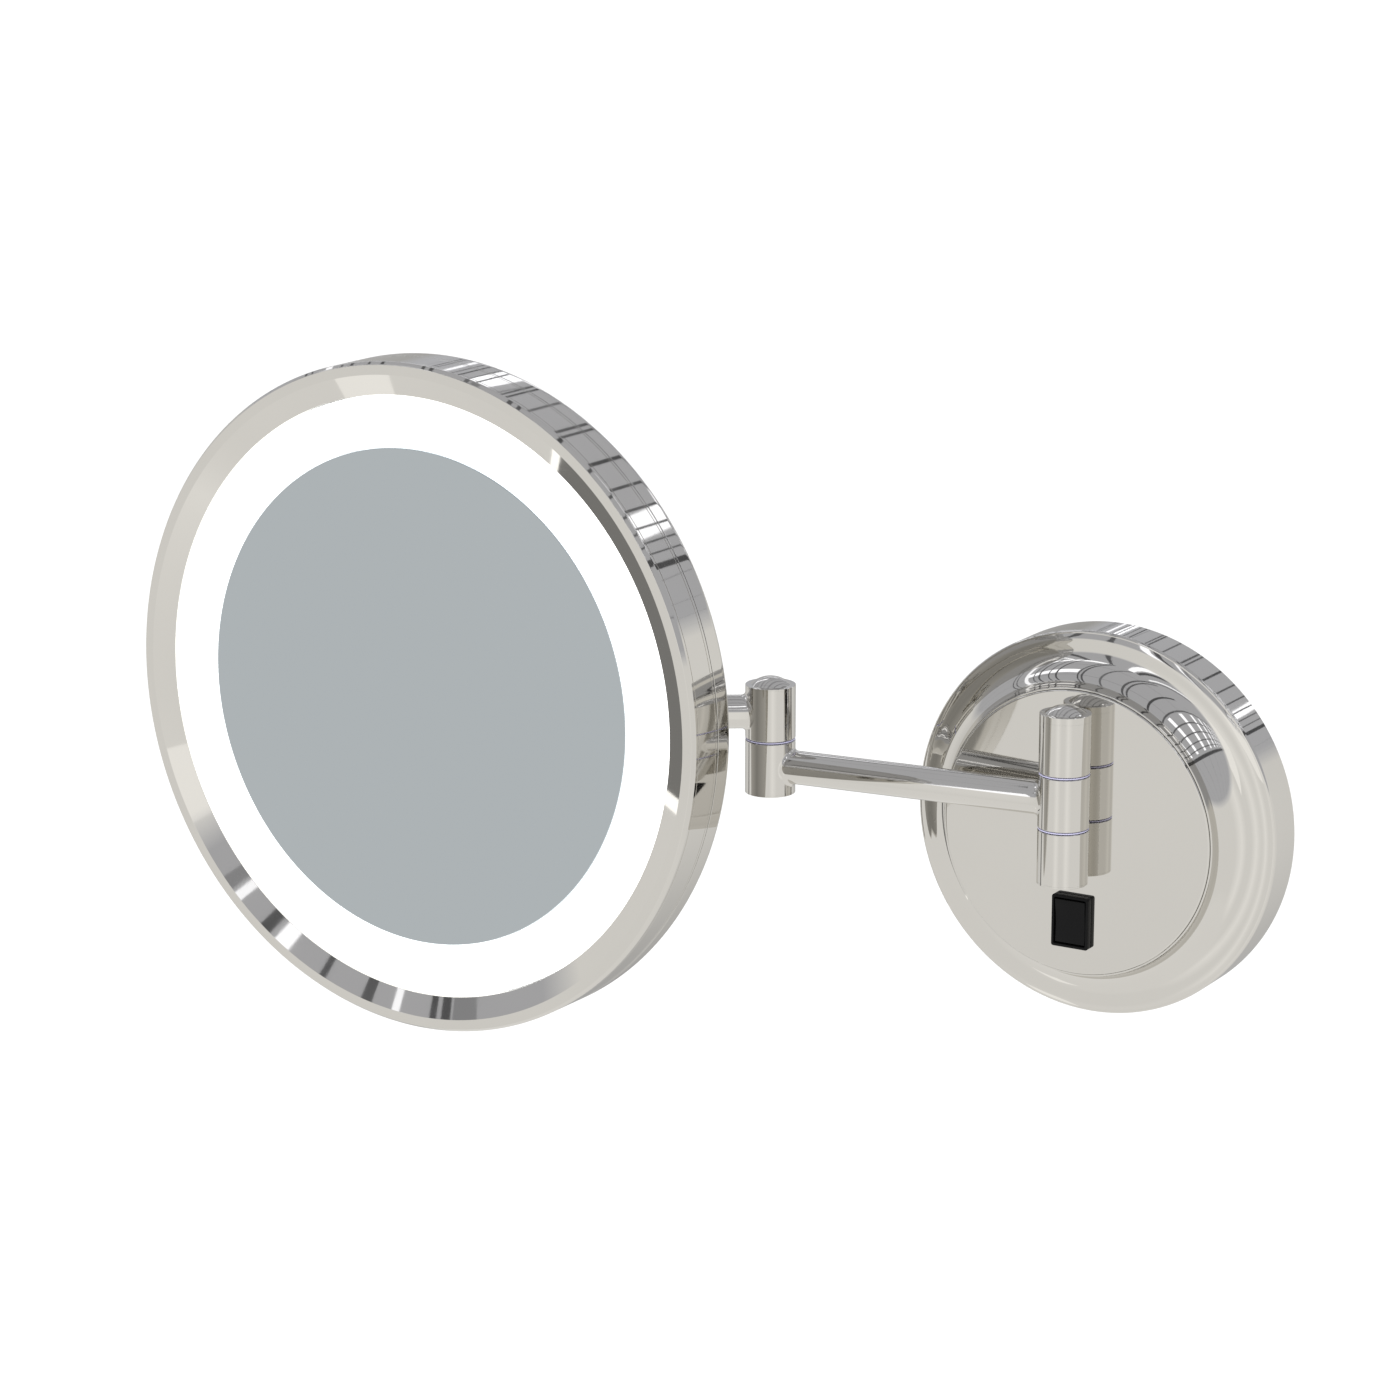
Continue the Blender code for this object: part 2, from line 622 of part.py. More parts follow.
def tilt_bracket(head):
    """A base on the back cover with two cheeks that hold the tilt pin."""
    base_front = LIP_TO_AXIS - HEAD_DEPTH - GAP
    base = box("tilt_bracket", (0.046, 0.003, 0.034), (0, -base_front + 0.0015, -0.003), head,
               "nickel")
    inner = BARREL_R + 2 * GAP
    for side in (-1, 1):
        x0 = side * inner
        x1 = side * (inner + CHEEK_THICK)
        arm_end = box_mesh((CHEEK_THICK, base_front - 0.001, 2 * CHEEK_R),
                           ((x0 + x1) / 2, -(base_front - 0.001) / 2 - 0.0005, 0))
        join(base, cutter(f"cheek_arm_{'left' if side < 0 else 'right'}", arm_end, head))
        nose = rod_mesh(CHEEK_R, (x0, 0, 0), (x1, 0, 0), 24)
        join(base, cutter(f"cheek_nose_{'left' if side < 0 else 'right'}", nose, head))
    hole = rod_mesh(TILT_PIN_R + GAP, (-0.02, 0, 0), (0.02, 0, 0), 16)
    cut(base, cutter("cut_tilt_pin", hole, head))
    for number, (x, z) in enumerate(bracket_screw_places(), 1):
        cut(base, cutter(f"cut_base_screw_{number}", base_hole(x, z), head))
    return base


def tilt_pin(head):
    """Bolt through the bracket's cheeks and the swivel barrel, with a nut at the other end."""
    outside = BARREL_R + 2 * GAP + CHEEK_THICK + GAP
    outline = [(0.0, -outside - 0.0025), (0.0048, -outside - 0.0020), (0.0048, -outside),
               (TILT_PIN_R, -outside), (TILT_PIN_R, outside + 0.0032), (0.0, outside + 0.0032)]
    across = Matrix.Rotation(radians(90), 4, "Y")
    turned("tilt_pin", outline, head, "steel", 16, across)
    nut = ring((TILT_PIN_R + GAP) / cos(pi / 6), 0.0056, outside, outside + 0.0030)
    turned("tilt_nut", nut, head, "steel", 6, across)


def mirror_head(head):
    head_rim(head)
    back_cover(head)
    glass_and_light(head)
    tilt_bracket(head)
    tilt_pin(head)
    for number, (x, z) in enumerate(cover_screw_places(), 1):
        head_screw(f"cover_screw_{number}", x, z, HEAD_DEPTH, CHASSIS_FRONT + 0.0025, head)
    for number, (x, z) in enumerate(bracket_screw_places(), 1):
        head_screw(f"bracket_screw_{number}", x, z, HEAD_DEPTH + 0.0033, HEAD_DEPTH - 0.0045, head)


def main():
    clear_scene()
    root = empty("wall_unit", (0, 0, 0))
    wall_plate(root)
    cable_grommet(root)
    grub_screw(root)
    rosette_shell(root)
    rosette_disc(root)
    post(root)
    switch(root)
    rocker(root)
    electrics(root)
    arm_axis = empty("arm_axis", (0, POST_Y, 0), 180 + ARM_ANGLE, root)
    arm(arm_axis)
    knuckle_axis = empty("knuckle_axis", (ARM_LENGTH, 0, 0), NECK_ANGLE - ARM_ANGLE, arm_axis)
    neck(knuckle_axis)
    swivel_axis = empty("swivel_axis", (NECK_LENGTH, 0, 0), HEAD_ANGLE - NECK_ANGLE - 180,
                        knuckle_axis)
    swivel(swivel_axis)
    tilt_axis = empty("tilt_axis", (0, 0, TILT_Z), 0, swivel_axis)
    mirror_head(tilt_axis)


main()
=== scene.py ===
"""Detailed Blender model of a wall-mounted, illuminated shaving mirror on a jointed arm.

Every piece is built in metres in the CAD frame: the wall is the plane y = 0, the room is on the -Y
side and +Z is up. Joint positions come from the record and heights from the CAD nodes' boxes.
"""

import json
from math import cos, pi, radians, sin, sqrt, tan

import bmesh
import bpy
from mathutils import Matrix, Vector


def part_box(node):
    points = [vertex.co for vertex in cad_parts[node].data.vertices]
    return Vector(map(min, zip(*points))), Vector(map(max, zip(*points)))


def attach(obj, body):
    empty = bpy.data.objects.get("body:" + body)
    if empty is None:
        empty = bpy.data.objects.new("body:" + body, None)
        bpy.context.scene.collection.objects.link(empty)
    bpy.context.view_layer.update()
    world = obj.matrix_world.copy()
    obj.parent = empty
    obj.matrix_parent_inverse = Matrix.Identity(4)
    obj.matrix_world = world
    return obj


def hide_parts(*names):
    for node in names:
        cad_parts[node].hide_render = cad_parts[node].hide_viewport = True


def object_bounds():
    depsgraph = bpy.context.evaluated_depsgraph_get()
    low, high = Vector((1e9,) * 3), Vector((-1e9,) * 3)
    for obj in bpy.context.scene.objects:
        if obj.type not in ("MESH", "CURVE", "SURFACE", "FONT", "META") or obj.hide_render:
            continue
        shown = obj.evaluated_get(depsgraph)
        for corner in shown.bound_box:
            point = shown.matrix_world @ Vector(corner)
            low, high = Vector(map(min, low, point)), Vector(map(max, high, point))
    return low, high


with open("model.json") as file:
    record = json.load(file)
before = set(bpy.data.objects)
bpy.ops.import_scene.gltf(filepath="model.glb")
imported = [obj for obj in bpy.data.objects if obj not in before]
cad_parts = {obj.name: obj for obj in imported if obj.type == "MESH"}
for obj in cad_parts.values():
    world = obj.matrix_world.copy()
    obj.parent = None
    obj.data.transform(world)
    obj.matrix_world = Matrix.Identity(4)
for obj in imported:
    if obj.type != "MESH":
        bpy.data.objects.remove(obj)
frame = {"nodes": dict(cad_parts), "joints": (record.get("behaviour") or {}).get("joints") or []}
cad_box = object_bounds()

MM = 0.001
GAP = 0.3 * MM

# Outer sizes that the visual pieces share with the CAD solids.
BARREL_R = 9.75 * MM
BORE_R = 4.3 * MM
TUBE_R = 6.5 * MM
WELD = 1.9 * MM
HEAD_DROP = 5.8 * MM
LIP_TO_AXIS = 48.9 * MM
HEAD_R = 128.0 * MM
HEAD_DEPTH = 25.1 * MM
GLASS_R = 95.2 * MM
DISC_R = 55.35 * MM
DISC_FRONT = 33.8 * MM
SWITCH_Z = -34.4 * MM
CHEEK_THICK = 3.0 * MM
SCREW_HOLE_R = 1.8 * MM

# The end caps: a dome inside a flat rim, a narrow spigot and a slightly eased edge.
TOP_DOME = 3.0 * MM
BOTTOM_DOME = 1.8 * MM
DOME_R = 7.7 * MM
SPIGOT_R = 4.0 * MM
SPIGOT_LENGTH = 2.77 * MM
FINE_EDGE = 0.12 * MM

FINE = 256
MEDIUM = 96
COARSE = 32

# Takes a height along Z to a distance towards the room, -Y.
FORWARD = Matrix.Rotation(radians(90), 4, "X")


# Places --------------------------------------------------------------------------------------


def joint(name):
    return next(j for j in frame["joints"] if j["name"] == name)


def joint_point(name):
    return Vector(joint(name)["pos_m"])


def upright_place(name):
    """The frame of a vertical joint axis at height zero."""
    x, y, _ = joint_point(name)
    return Matrix.Translation((x, y, 0.0))


def link_place(inner, outer):
    """A frame on the inner joint's axis at height zero, with its X pointing to the outer joint."""
    start = joint_point(inner)
    along = joint_point(outer) - start
    turn = Vector((along.x, along.y)).angle_signed(Vector((1.0, 0.0)))
    return upright_place(inner) @ Matrix.Rotation(turn, 4, "Z")


def link_length(inner, outer):
    along = joint_point(outer) - joint_point(inner)
    return Vector((along.x, along.y)).length


def head_place():
    """The tilt axis's frame: X along the axis, Z up, and -Y the way that the mirror faces."""
    across = Vector(joint("head_tilt")["axis"]).normalized()
    up = Vector((0.0, 0.0, 1.0))
    turn = Matrix((across, up.cross(across), up)).transposed().to_4x4()
    return Matrix.Translation(joint_point("head_tilt")) @ turn


HEAD = head_place()
HEAD_FRONT = HEAD @ Matrix.Translation((0.0, -LIP_TO_AXIS, -HEAD_DROP)) @ FORWARD
POST = upright_place("arm_swing")


# Mesh helpers --------------------------------------------------------------------------------


def rounded(corners, steps=5, closed=True):
    """An outline whose corners (x, y, fillet radius) become arcs, with a close point on each side.

    The close points keep the flat stretches flat where the surface is shaded smooth.
    """
    points = []
    count = len(corners)
    for index, (x, y, fillet) in enumerate(corners):
        here = Vector((x, y))
        at_end = not closed and index in (0, count - 1)
        if fillet <= 0.0 or at_end:
            points.append(here)
            continue
        back = (Vector(corners[index - 1][:2]) - here).normalized()
        ahead = (Vector(corners[(index + 1) % count][:2]) - here).normalized()
        half = back.angle(ahead) / 2
        reach = fillet / tan(half)
        centre = here + (back + ahead).normalized() * (fillet / sin(half))
        first = here + back * reach - centre
        last = here + ahead * reach - centre
        sweep = first.angle_signed(last)
        guard = 0.3 * reach
        points.append(here + back * (reach + guard))
        for step in range(steps + 1):
            turn = Matrix.Rotation(-sweep * step / steps, 2)
            points.append(centre + turn @ first)
        points.append(here + ahead * (reach + guard))
    return points


def lathe(outline, segments):
    """A solid of revolution about Z from a closed outline of (radius, height) points."""
    made = bmesh.new()
    rings = []
    for radius, height in outline:
        if radius < 1e-7:
            rings.append([made.verts.new((0.0, 0.0, height))])
            continue
        angles = [2 * pi * n / segments for n in range(segments)]
        rings.append([made.verts.new((radius * cos(a), radius * sin(a), height)) for a in angles])
    for index, ring in enumerate(rings):
        bridge(made, rings[index - 1], ring)
    return made


def bridge(made, first, second):
    """Faces between two closed rings, either of which may be a single point."""
    count = max(len(first), len(second))
    if count == 1:
        return
    for n in range(count):
        nearby = (n + 1) % count
        loop = [first[n % len(first)], first[nearby % len(first)],
                second[nearby % len(second)], second[n % len(second)]]
        made.faces.new(list(dict.fromkeys(loop)))


def prism(outline, low, high, edge=0.0):
    """An upright solid with a flat outline in X and Y, and rounded top and bottom edges."""
    made = bmesh.new()
    base = made.faces.new([made.verts.new((x, y, low)) for x, y in outline])
    grown = bmesh.ops.extrude_face_region(made, geom=[base])
    shifted = [v for v in grown["geom"] if isinstance(v, bmesh.types.BMVert)]
    bmesh.ops.translate(made, vec=(0, 0, high - low), verts=shifted)
    bmesh.ops.recalc_face_normals(made, faces=made.faces)
    if edge > 0.0:
        rims = [e for e in made.edges if abs(e.verts[0].co.z - e.verts[1].co.z) < 1e-8]
        bmesh.ops.bevel(made, geom=rims, offset=edge, segments=3, profile=0.5, affect="EDGES")
    return made


def rounded_rectangle(width, height, radius):
    half_w = width / 2
    half_h = height / 2
    corners = [(-half_w, -half_h, radius), (half_w, -half_h, radius), (half_w, half_h, radius),
               (-half_w, half_h, radius)]
    return rounded(corners, 6)


def merged(*parts):
    """One mesh from several closed ones."""
    whole = bmesh.new()
    for part in parts:
        scratch = bpy.data.meshes.new("scratch")
        part.to_mesh(scratch)
        part.free()
        whole.from_mesh(scratch)
        bpy.data.meshes.remove(scratch)
    return whole


def moved(made, place):
    made.transform(place)
    return made


def piece(name, made, place, body, material, replaces=(), sharp=32.0):
    """A named object in its place that rides on a body, takes a slot and stands for CAD nodes."""
    made.transform(place)
    bmesh.ops.recalc_face_normals(made, faces=made.faces)
    mesh = bpy.data.meshes.new(name)
    made.to_mesh(mesh)
    made.free()
    mesh.shade_smooth()
    mesh.set_sharp_from_angle(angle=radians(sharp))
    mesh.materials.append(material)
    obj = bpy.data.objects.new(name, mesh)
    bpy.context.scene.collection.objects.link(obj)
    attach(obj, body)
    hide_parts(*replaces)
    return obj


def cut(made, tool):
    """The first mesh less the second one. Both are used up."""
    objects = []
    for part in (made, tool):
        bmesh.ops.recalc_face_normals(part, faces=part.faces)
        mesh = bpy.data.meshes.new("scratch")
        part.to_mesh(mesh)
        part.free()
        obj = bpy.data.objects.new("scratch", mesh)
        bpy.context.scene.collection.objects.link(obj)
        objects.append(obj)
    body, cutter = objects
    modifier = body.modifiers.new("cut", "BOOLEAN")
    modifier.operation = "DIFFERENCE"
    modifier.object = cutter
    modifier.solver = "EXACT"
    bpy.context.view_layer.update()
    graph = bpy.context.evaluated_depsgraph_get()
    result = bmesh.new()
    result.from_object(body, graph)
    for obj in objects:
        mesh = obj.data
        bpy.data.objects.remove(obj, do_unlink=True)
        bpy.data.meshes.remove(mesh)
    return result


def rod(radius, low, high):
    return lathe([(0.0, low), (radius, low), (radius, high), (0.0, high)], COARSE)


def slab(width, height, low, high):
    """A plain block about the Z axis, used for cutting."""
    half_w = width / 2
    half_h = height / 2
    return prism([(-half_w, -half_h), (half_w, -half_h), (half_w, half_h), (-half_w, half_h)],
                 low, high)


# Node helpers --------------------------------------------------------------------------------


class Nodes:
    """Short calls for one node tree."""

    def __init__(self, tree):
        self.tree = tree

    def put(self, socket, value):
        if isinstance(value, bpy.types.NodeSocket):
            self.tree.links.new(value, socket)
        elif value is not None:
            socket.default_value = value

    def math(self, operation, *values):
        node = self.tree.nodes.new("ShaderNodeMath")
        node.operation = operation
        for socket, value in zip(node.inputs, values):
            self.put(socket, value)
        return node.outputs[0]

    def mix(self, share, first, second):
        node = self.tree.nodes.new("ShaderNodeMix")
        node.data_type = "RGBA"
        self.put(node.inputs["Factor"], share)
        self.put(node.inputs[6], first)
        self.put(node.inputs[7], second)
        return node.outputs[2]

    def remap(self, value, low, high, new_low, new_high):
        node = self.tree.nodes.new("ShaderNodeMapRange")
        for name, number in (("From Min", low), ("From Max", high), ("To Min", new_low),
                             ("To Max", new_high)):
            node.inputs[name].default_value = number
        self.put(node.inputs["Value"], value)
        return node.outputs[0]

    def place(self, stretch=(1.0, 1.0, 1.0)):
        """The piece's own coordinates, stretched along each axis."""
        coordinate = self.tree.nodes.new("ShaderNodeTexCoord")
        mapping = self.tree.nodes.new("ShaderNodeMapping")
        mapping.inputs["Scale"].default_value = stretch
        self.put(mapping.inputs["Vector"], coordinate.outputs["Object"])
        return mapping.outputs[0]

    def noise(self, scale, detail=3.0, stretch=(1.0, 1.0, 1.0), rough=0.5):
        node = self.tree.nodes.new("ShaderNodeTexNoise")
        node.inputs["Scale"].default_value = scale
        node.inputs["Detail"].default_value = detail
        node.inputs["Roughness"].default_value = rough
        self.put(node.inputs["Vector"], self.place(stretch))
        return node.outputs["Fac"]

    def cells(self, scale):
        node = self.tree.nodes.new("ShaderNodeTexVoronoi")
        node.inputs["Scale"].default_value = scale
        self.put(node.inputs["Vector"], self.place())
        return node

    def bump(self, height, distance, strength=1.0, under=None):
        node = self.tree.nodes.new("ShaderNodeBump")
        node.inputs["Strength"].default_value = strength
        node.inputs["Distance"].default_value = distance
        self.put(node.inputs["Height"], height)
        self.put(node.inputs["Normal"], under)
        return node.outputs["Normal"]


def new_material(name, **constants):
    """A Principled material. The constants are socket names, with _ for a space, and values."""
    made = bpy.data.materials.new(name)
    made.use_nodes = True
    shader = made.node_tree.nodes["Principled BSDF"]
    for socket, value in constants.items():
        shader.inputs[socket.replace("_", " ")].default_value = value
    return made, Nodes(made.node_tree), shader


def varied(nodes, shader, colour, spread, factor):
    """Links a base colour that drifts a little either side of the given one."""
    dark = tuple(c * (1 - spread) for c in colour)
    light = tuple(min(1.0, c * (1 + spread)) for c in colour)
    nodes.put(shader.inputs["Base Color"], nodes.mix(factor, (*dark, 1.0), (*light, 1.0)))


# Materials -----------------------------------------------------------------------------------


def polished_nickel(name="polished_nickel", wave=1.0):
    """Mirror-bright plating: faint buffing haze, slow waviness and hairline polishing marks."""
    made, nodes, shader = new_material(name, Metallic=1.0)
    cloud = nodes.noise(18.0, 4.0)
    varied(nodes, shader, NICKEL, 0.025, cloud)
    hairs = nodes.noise(900.0, 2.0, (1.0, 1.0, 0.06))
    haze = nodes.noise(60.0, 5.0, rough=0.65)
    smear = nodes.remap(haze, 0.35, 0.75, 0.0, 0.022)
    streak = nodes.remap(hairs, 0.62, 0.80, 0.0, 0.03)
    nodes.put(shader.inputs["Roughness"],
              nodes.math("ADD", nodes.math("ADD", smear, streak), 0.026))
    slow = nodes.bump(nodes.noise(26.0, 1.0), 0.05 * MM * wave, 0.5)
    nodes.put(shader.inputs["Normal"], nodes.bump(hairs, 0.002 * MM, 0.25, slow))
    return made


def mirror_glass_material():
    """Silvered glass under a clear face, with the slightest dust."""
    made, nodes, shader = new_material("silvered_glass", Metallic=1.0, Coat_Weight=0.35,
                                       Coat_Roughness=0.01, Coat_IOR=1.5)
    cloud = nodes.noise(9.0, 3.0)
    varied(nodes, shader, SILVERING, 0.006, cloud)
    dust = nodes.noise(2200.0, 2.0)
    nodes.put(shader.inputs["Roughness"], nodes.remap(dust, 0.66, 0.80, 0.008, 0.06))
    return made


def opal_material():
    """Frosted acrylic lit from behind: even, with a fine etched grain."""
    made, nodes, shader = new_material("opal_acrylic", Roughness=0.5, IOR=1.49,
                                       Emission_Strength=1.25)
    grain = nodes.noise(3200.0, 2.0)
    varied(nodes, shader, (0.94, 0.94, 0.925), 0.02, grain)
    glow = nodes.noise(30.0, 2.0)
    nodes.put(shader.inputs["Emission Color"],
              nodes.mix(glow, (0.97, 0.98, 0.98, 1.0), (1.0, 1.0, 0.985, 1.0)))
    nodes.put(shader.inputs["Normal"], nodes.bump(grain, 0.01 * MM, 0.4))
    return made


def moulded(name, colour, spread, grain_scale, depth, low_gloss, high_gloss, specular=0.5):
    """Moulded plastic or rubber with a spark-eroded grain."""
    made, nodes, shader = new_material(name, IOR=1.5, Specular_IOR_Level=specular)
    cloud = nodes.noise(70.0, 3.0)
    varied(nodes, shader, colour, spread, cloud)
    grain = nodes.noise(grain_scale, 3.0, rough=0.6)
    pits = nodes.cells(grain_scale * 0.8).outputs["Distance"]
    nodes.put(shader.inputs["Roughness"], nodes.remap(grain, 0.3, 0.7, low_gloss, high_gloss))
    height = nodes.math("MULTIPLY_ADD", pits, 0.5, grain)
    nodes.put(shader.inputs["Normal"], nodes.bump(height, depth, 0.5))
    return made


def zinc_steel():
    """Zinc plating with soft crystalline patches and fine rolling marks."""
    made, nodes, shader = new_material("zinc_steel", Metallic=1.0)
    patches = nodes.cells(260.0).outputs["Color"]
    grey = nodes.math("MULTIPLY_ADD", nodes.noise(120.0, 4.0), 0.5,
                      nodes.math("MULTIPLY", patches, 0.5))
    varied(nodes, shader, (0.56, 0.565, 0.58), 0.12, grey)
    marks = nodes.noise(1400.0, 2.0, (0.08, 1.0, 1.0))
    nodes.put(shader.inputs["Roughness"], nodes.remap(marks, 0.3, 0.7, 0.24, 0.40))
    nodes.put(shader.inputs["Normal"], nodes.bump(marks, 0.01 * MM, 0.4))
    return made


def mill_aluminium():
    made, nodes, shader = new_material("mill_aluminium", Metallic=1.0)
    marks = nodes.noise(1100.0, 3.0, (1.0, 1.0, 0.05))
    varied(nodes, shader, (0.76, 0.77, 0.78), 0.06, marks)
    nodes.put(shader.inputs["Roughness"], nodes.remap(marks, 0.3, 0.7, 0.26, 0.42))
    nodes.put(shader.inputs["Normal"], nodes.bump(marks, 0.008 * MM, 0.4))
    return made


def solder_mask():
    """White board lacquer with the weave of the laminate just showing through."""
    made, nodes, shader = new_material("white_solder_mask", IOR=1.5)
    weave = nodes.math("MULTIPLY", nodes.noise(900.0, 1.0, (1.0, 0.1, 0.1)),
                       nodes.noise(900.0, 1.0, (0.1, 0.1, 1.0)))
    varied(nodes, shader, (0.84, 0.85, 0.83), 0.03, weave)
    nodes.put(shader.inputs["Roughness"], nodes.remap(weave, 0.1, 0.4, 0.35, 0.5))
    nodes.put(shader.inputs["Normal"], nodes.bump(weave, 0.01 * MM, 0.3))
    return made


NICKEL = (0.66, 0.645, 0.61)
SILVERING = (0.455, 0.497, 0.522)

nickel = polished_nickel()
nickel_flat = polished_nickel("polished_nickel_plate", 0.4)
silvered = mirror_glass_material()
opal = opal_material()
nylon = moulded("lavender_nylon", (0.60, 0.585, 0.80), 0.03, 1500.0, 0.006 * MM, 0.36, 0.5)
black = moulded("black_grained_plastic", (0.0055, 0.0055, 0.0058), 0.15, 2600.0, 0.012 * MM,
                0.30, 0.42, 0.10)
black_gloss = moulded("black_rocker_plastic", (0.0065, 0.0065, 0.0069), 0.12, 3200.0,
                      0.005 * MM, 0.20, 0.30, 0.10)
white = moulded("white_moulded_plastic", (0.80, 0.80, 0.775), 0.02, 1300.0, 0.02 * MM, 0.38, 0.55)
rubber = moulded("soft_black_rubber", (0.026, 0.026, 0.027), 0.2, 1800.0, 0.03 * MM, 0.65, 0.85)
sheath = moulded("cable_sheath", (0.045, 0.045, 0.047), 0.15, 1600.0, 0.015 * MM, 0.5, 0.65)
zinc = zinc_steel()
aluminium = mill_aluminium()
lacquer = solder_mask()

SLOT_MATERIALS = {
    "nickel": nickel, "steel": zinc, "aluminium": aluminium, "nylon": nylon,
    "black_plastic": black, "white_plastic": white, "opal": opal, "mirror": silvered,
    "rubber": rubber, "wire": sheath, "board": lacquer,
}


# Wall unit -----------------------------------------------------------------------------------


def rosette_shell():
    """Side wall, soft front edge, low ridge and a hollow cove up to the plateau."""
    radius = 75.0
    cove = []
    for step in range(25):
        turn = radians(90 * step / 24)
        cove.append((69.9 - 13.7 * sin(turn), 18.9 + 13.9 * (1 - cos(turn))))
    edge = rounded([(radius, 0.3, 0.0), (radius, 18.0, 0.9), (73.9, 18.05, 0.0)], 6, False)
    ridge = [(72.9, 18.42), (72.0, 18.68), (71.2, 18.82), (70.5, 18.88)]
    top = rounded([(56.2, 32.7, 0.0), (56.2, 33.1, 0.25), (55.45, 33.1, 0.15), (55.45, 31.5, 0.0),
                   (46.0, 31.5, 0.0)], 4, False)
    inside = [(46.0, 29.9), (54.4, 29.9)]
    inside += [(r - 1.3, z - 1.3) for r, z in reversed(cove[:-3:3])]
    inside += [(73.4, 17.2), (73.4, 0.3)]
    outline = [tuple(p) for p in edge] + ridge + cove[:-1] + [tuple(p) for p in top] + inside
    made = lathe([(r * MM, z * MM) for r, z in outline], FINE)
    hole = moved(rod(SCREW_HOLE_R, 69.0 * MM, 78.0 * MM),
                 Matrix.Translation((0.0, -6.0 * MM, 0.0)) @ Matrix.Rotation(radians(180), 4, "X"))
    made.transform(FORWARD)
    made = cut(made, hole)
    piece("rosette_shell_polished", made, Matrix.Identity(4), "wall_unit", nickel,
          ["rosette_shell"])


def rosette_disc():
    """The polished disc, with its rounded edge and the switch's opening."""
    low = 31.8 * MM
    outline = rounded([(0.0, low, 0.0), (DISC_R, low, 0.2 * MM),
                       (DISC_R, DISC_FRONT, 0.6 * MM), (0.0, DISC_FRONT, 0.0)], 6)
    made = lathe(outline, FINE)
    opening = moved(slab(13.5 * MM, 18.6 * MM, 30.0 * MM, 36.0 * MM),
                    Matrix.Translation((0.0, SWITCH_Z, 0.0)))
    made = cut(made, opening)
    piece("rosette_disc_polished", made, FORWARD, "wall_unit", nickel_flat,
          ["rosette_disc"])


def wall_plate():
    """Pressed plate with an upturned rim, three screw holes and the cable's hole."""
    rim = 73.1
    outline = rounded([(0.0, 0.0, 0.0), (rim, 0.0, 1.2), (rim, 10.0, 0.3), (rim - 1.6, 10.0, 0.3),
                       (rim - 1.6, 2.0, 0.8), (64.0, 2.0, 0.0), (0.0, 2.0, 0.0)], 4)
    made = lathe([(r * MM, z * MM) for r, z in outline], FINE)
    for turn in (90, 210, 330):
        place = Matrix.Translation((55 * MM * cos(radians(turn)), 55 * MM * sin(radians(turn)), 0))
        made = cut(made, moved(rod(2.7 * MM, -2 * MM, 6 * MM), place))
    low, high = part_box("cable_grommet")
    middle = (low + high) / 2
    made = cut(made, moved(rod(6.0 * MM, -2 * MM, 6 * MM),
                           Matrix.Translation((middle.x, middle.z, 0.0))))
    piece("wall_plate_pressed", made, FORWARD, "wall_unit", zinc, ["wall_plate"])


def cable_grommet():
    low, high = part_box("cable_grommet")
    middle = (low + high) / 2
    outline = rounded([(3.6, 0.3, 0.5), (5.7, 0.3, 0.3), (5.7, 2.3, 0.0), (8.2, 2.3, 0.3),
                       (8.2, 4.2, 0.8), (3.6, 4.2, 0.6)], 4)
    made = lathe([(r * MM, z * MM) for r, z in outline], 48)
    place = Matrix.Translation((middle.x, 0.0, middle.z)) @ FORWARD
    piece("cable_grommet_moulded", made, place, "wall_unit", rubber, ["cable_grommet"])


def barrel_mesh(low, high, capped=0):
    """An upright barrel with a bore. The edge that a cap closes, +1 for the top, stays sharp."""
    eased = 0.28 * MM
    outline = rounded([(BORE_R, low, 0.0), (BARREL_R, low, 0.0 if capped < 0 else eased),
                       (BARREL_R, high, 0.0 if capped > 0 else eased), (BORE_R, high, 0.0)], 4)
    return lathe(outline, MEDIUM)


def barrel_span(node):
    low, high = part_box(node)
    return low.z, high.z


def foot_mesh(low, high):
    """The post's foot: a block with rounded edges from the barrel's back to the disc."""
    half_w = 4.0 * MM
    front = 8.6 * MM
    back = -joint_point("arm_swing").y - DISC_FRONT - GAP
    outline = rounded([(-half_w, low, 1.2 * MM), (half_w, low, 1.2 * MM),
                       (half_w, high, 1.2 * MM), (-half_w, high, 1.2 * MM)], 4)
    made = prism(outline, -back, -front, 0.0)
    made.transform(FORWARD)
    return made


def post_section(name, capped):
    low, high = barrel_span(name)
    foot = foot_mesh(low + 1.0 * MM, high - 1.0 * MM)
    piece(name + "_polished", merged(barrel_mesh(low, high, capped), foot), POST, "wall_unit",
          nickel, [name])


def end_cap(name, body, place, up):
    """A cap with a crisp flat rim round its dome, a short cylinder down to the barrel and a spigot."""
    low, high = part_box(name)
    dome = TOP_DOME if up > 0 else BOTTOM_DOME
    crown = high.z if up > 0 else low.z
    root = low.z if up > 0 else high.z
    rim = crown - up * dome
    base = root + up * SPIGOT_LENGTH
    sphere = (DOME_R ** 2 + dome ** 2) / (2 * dome)
    outline = [(0.0, root), (SPIGOT_R, root), (SPIGOT_R, base), (BARREL_R, base)]
    outline += [(BARREL_R, rim - up * FINE_EDGE), (BARREL_R - FINE_EDGE, rim)]
    steps = 16
    for step in range(steps + 1):
        radius = DOME_R * (1 - step / steps)
        height = sqrt(sphere ** 2 - radius ** 2) - sphere
        outline.append((radius, crown + up * height))
    piece(name + "_polished", lathe(outline, MEDIUM), place, body, nickel, [name], 20.0)


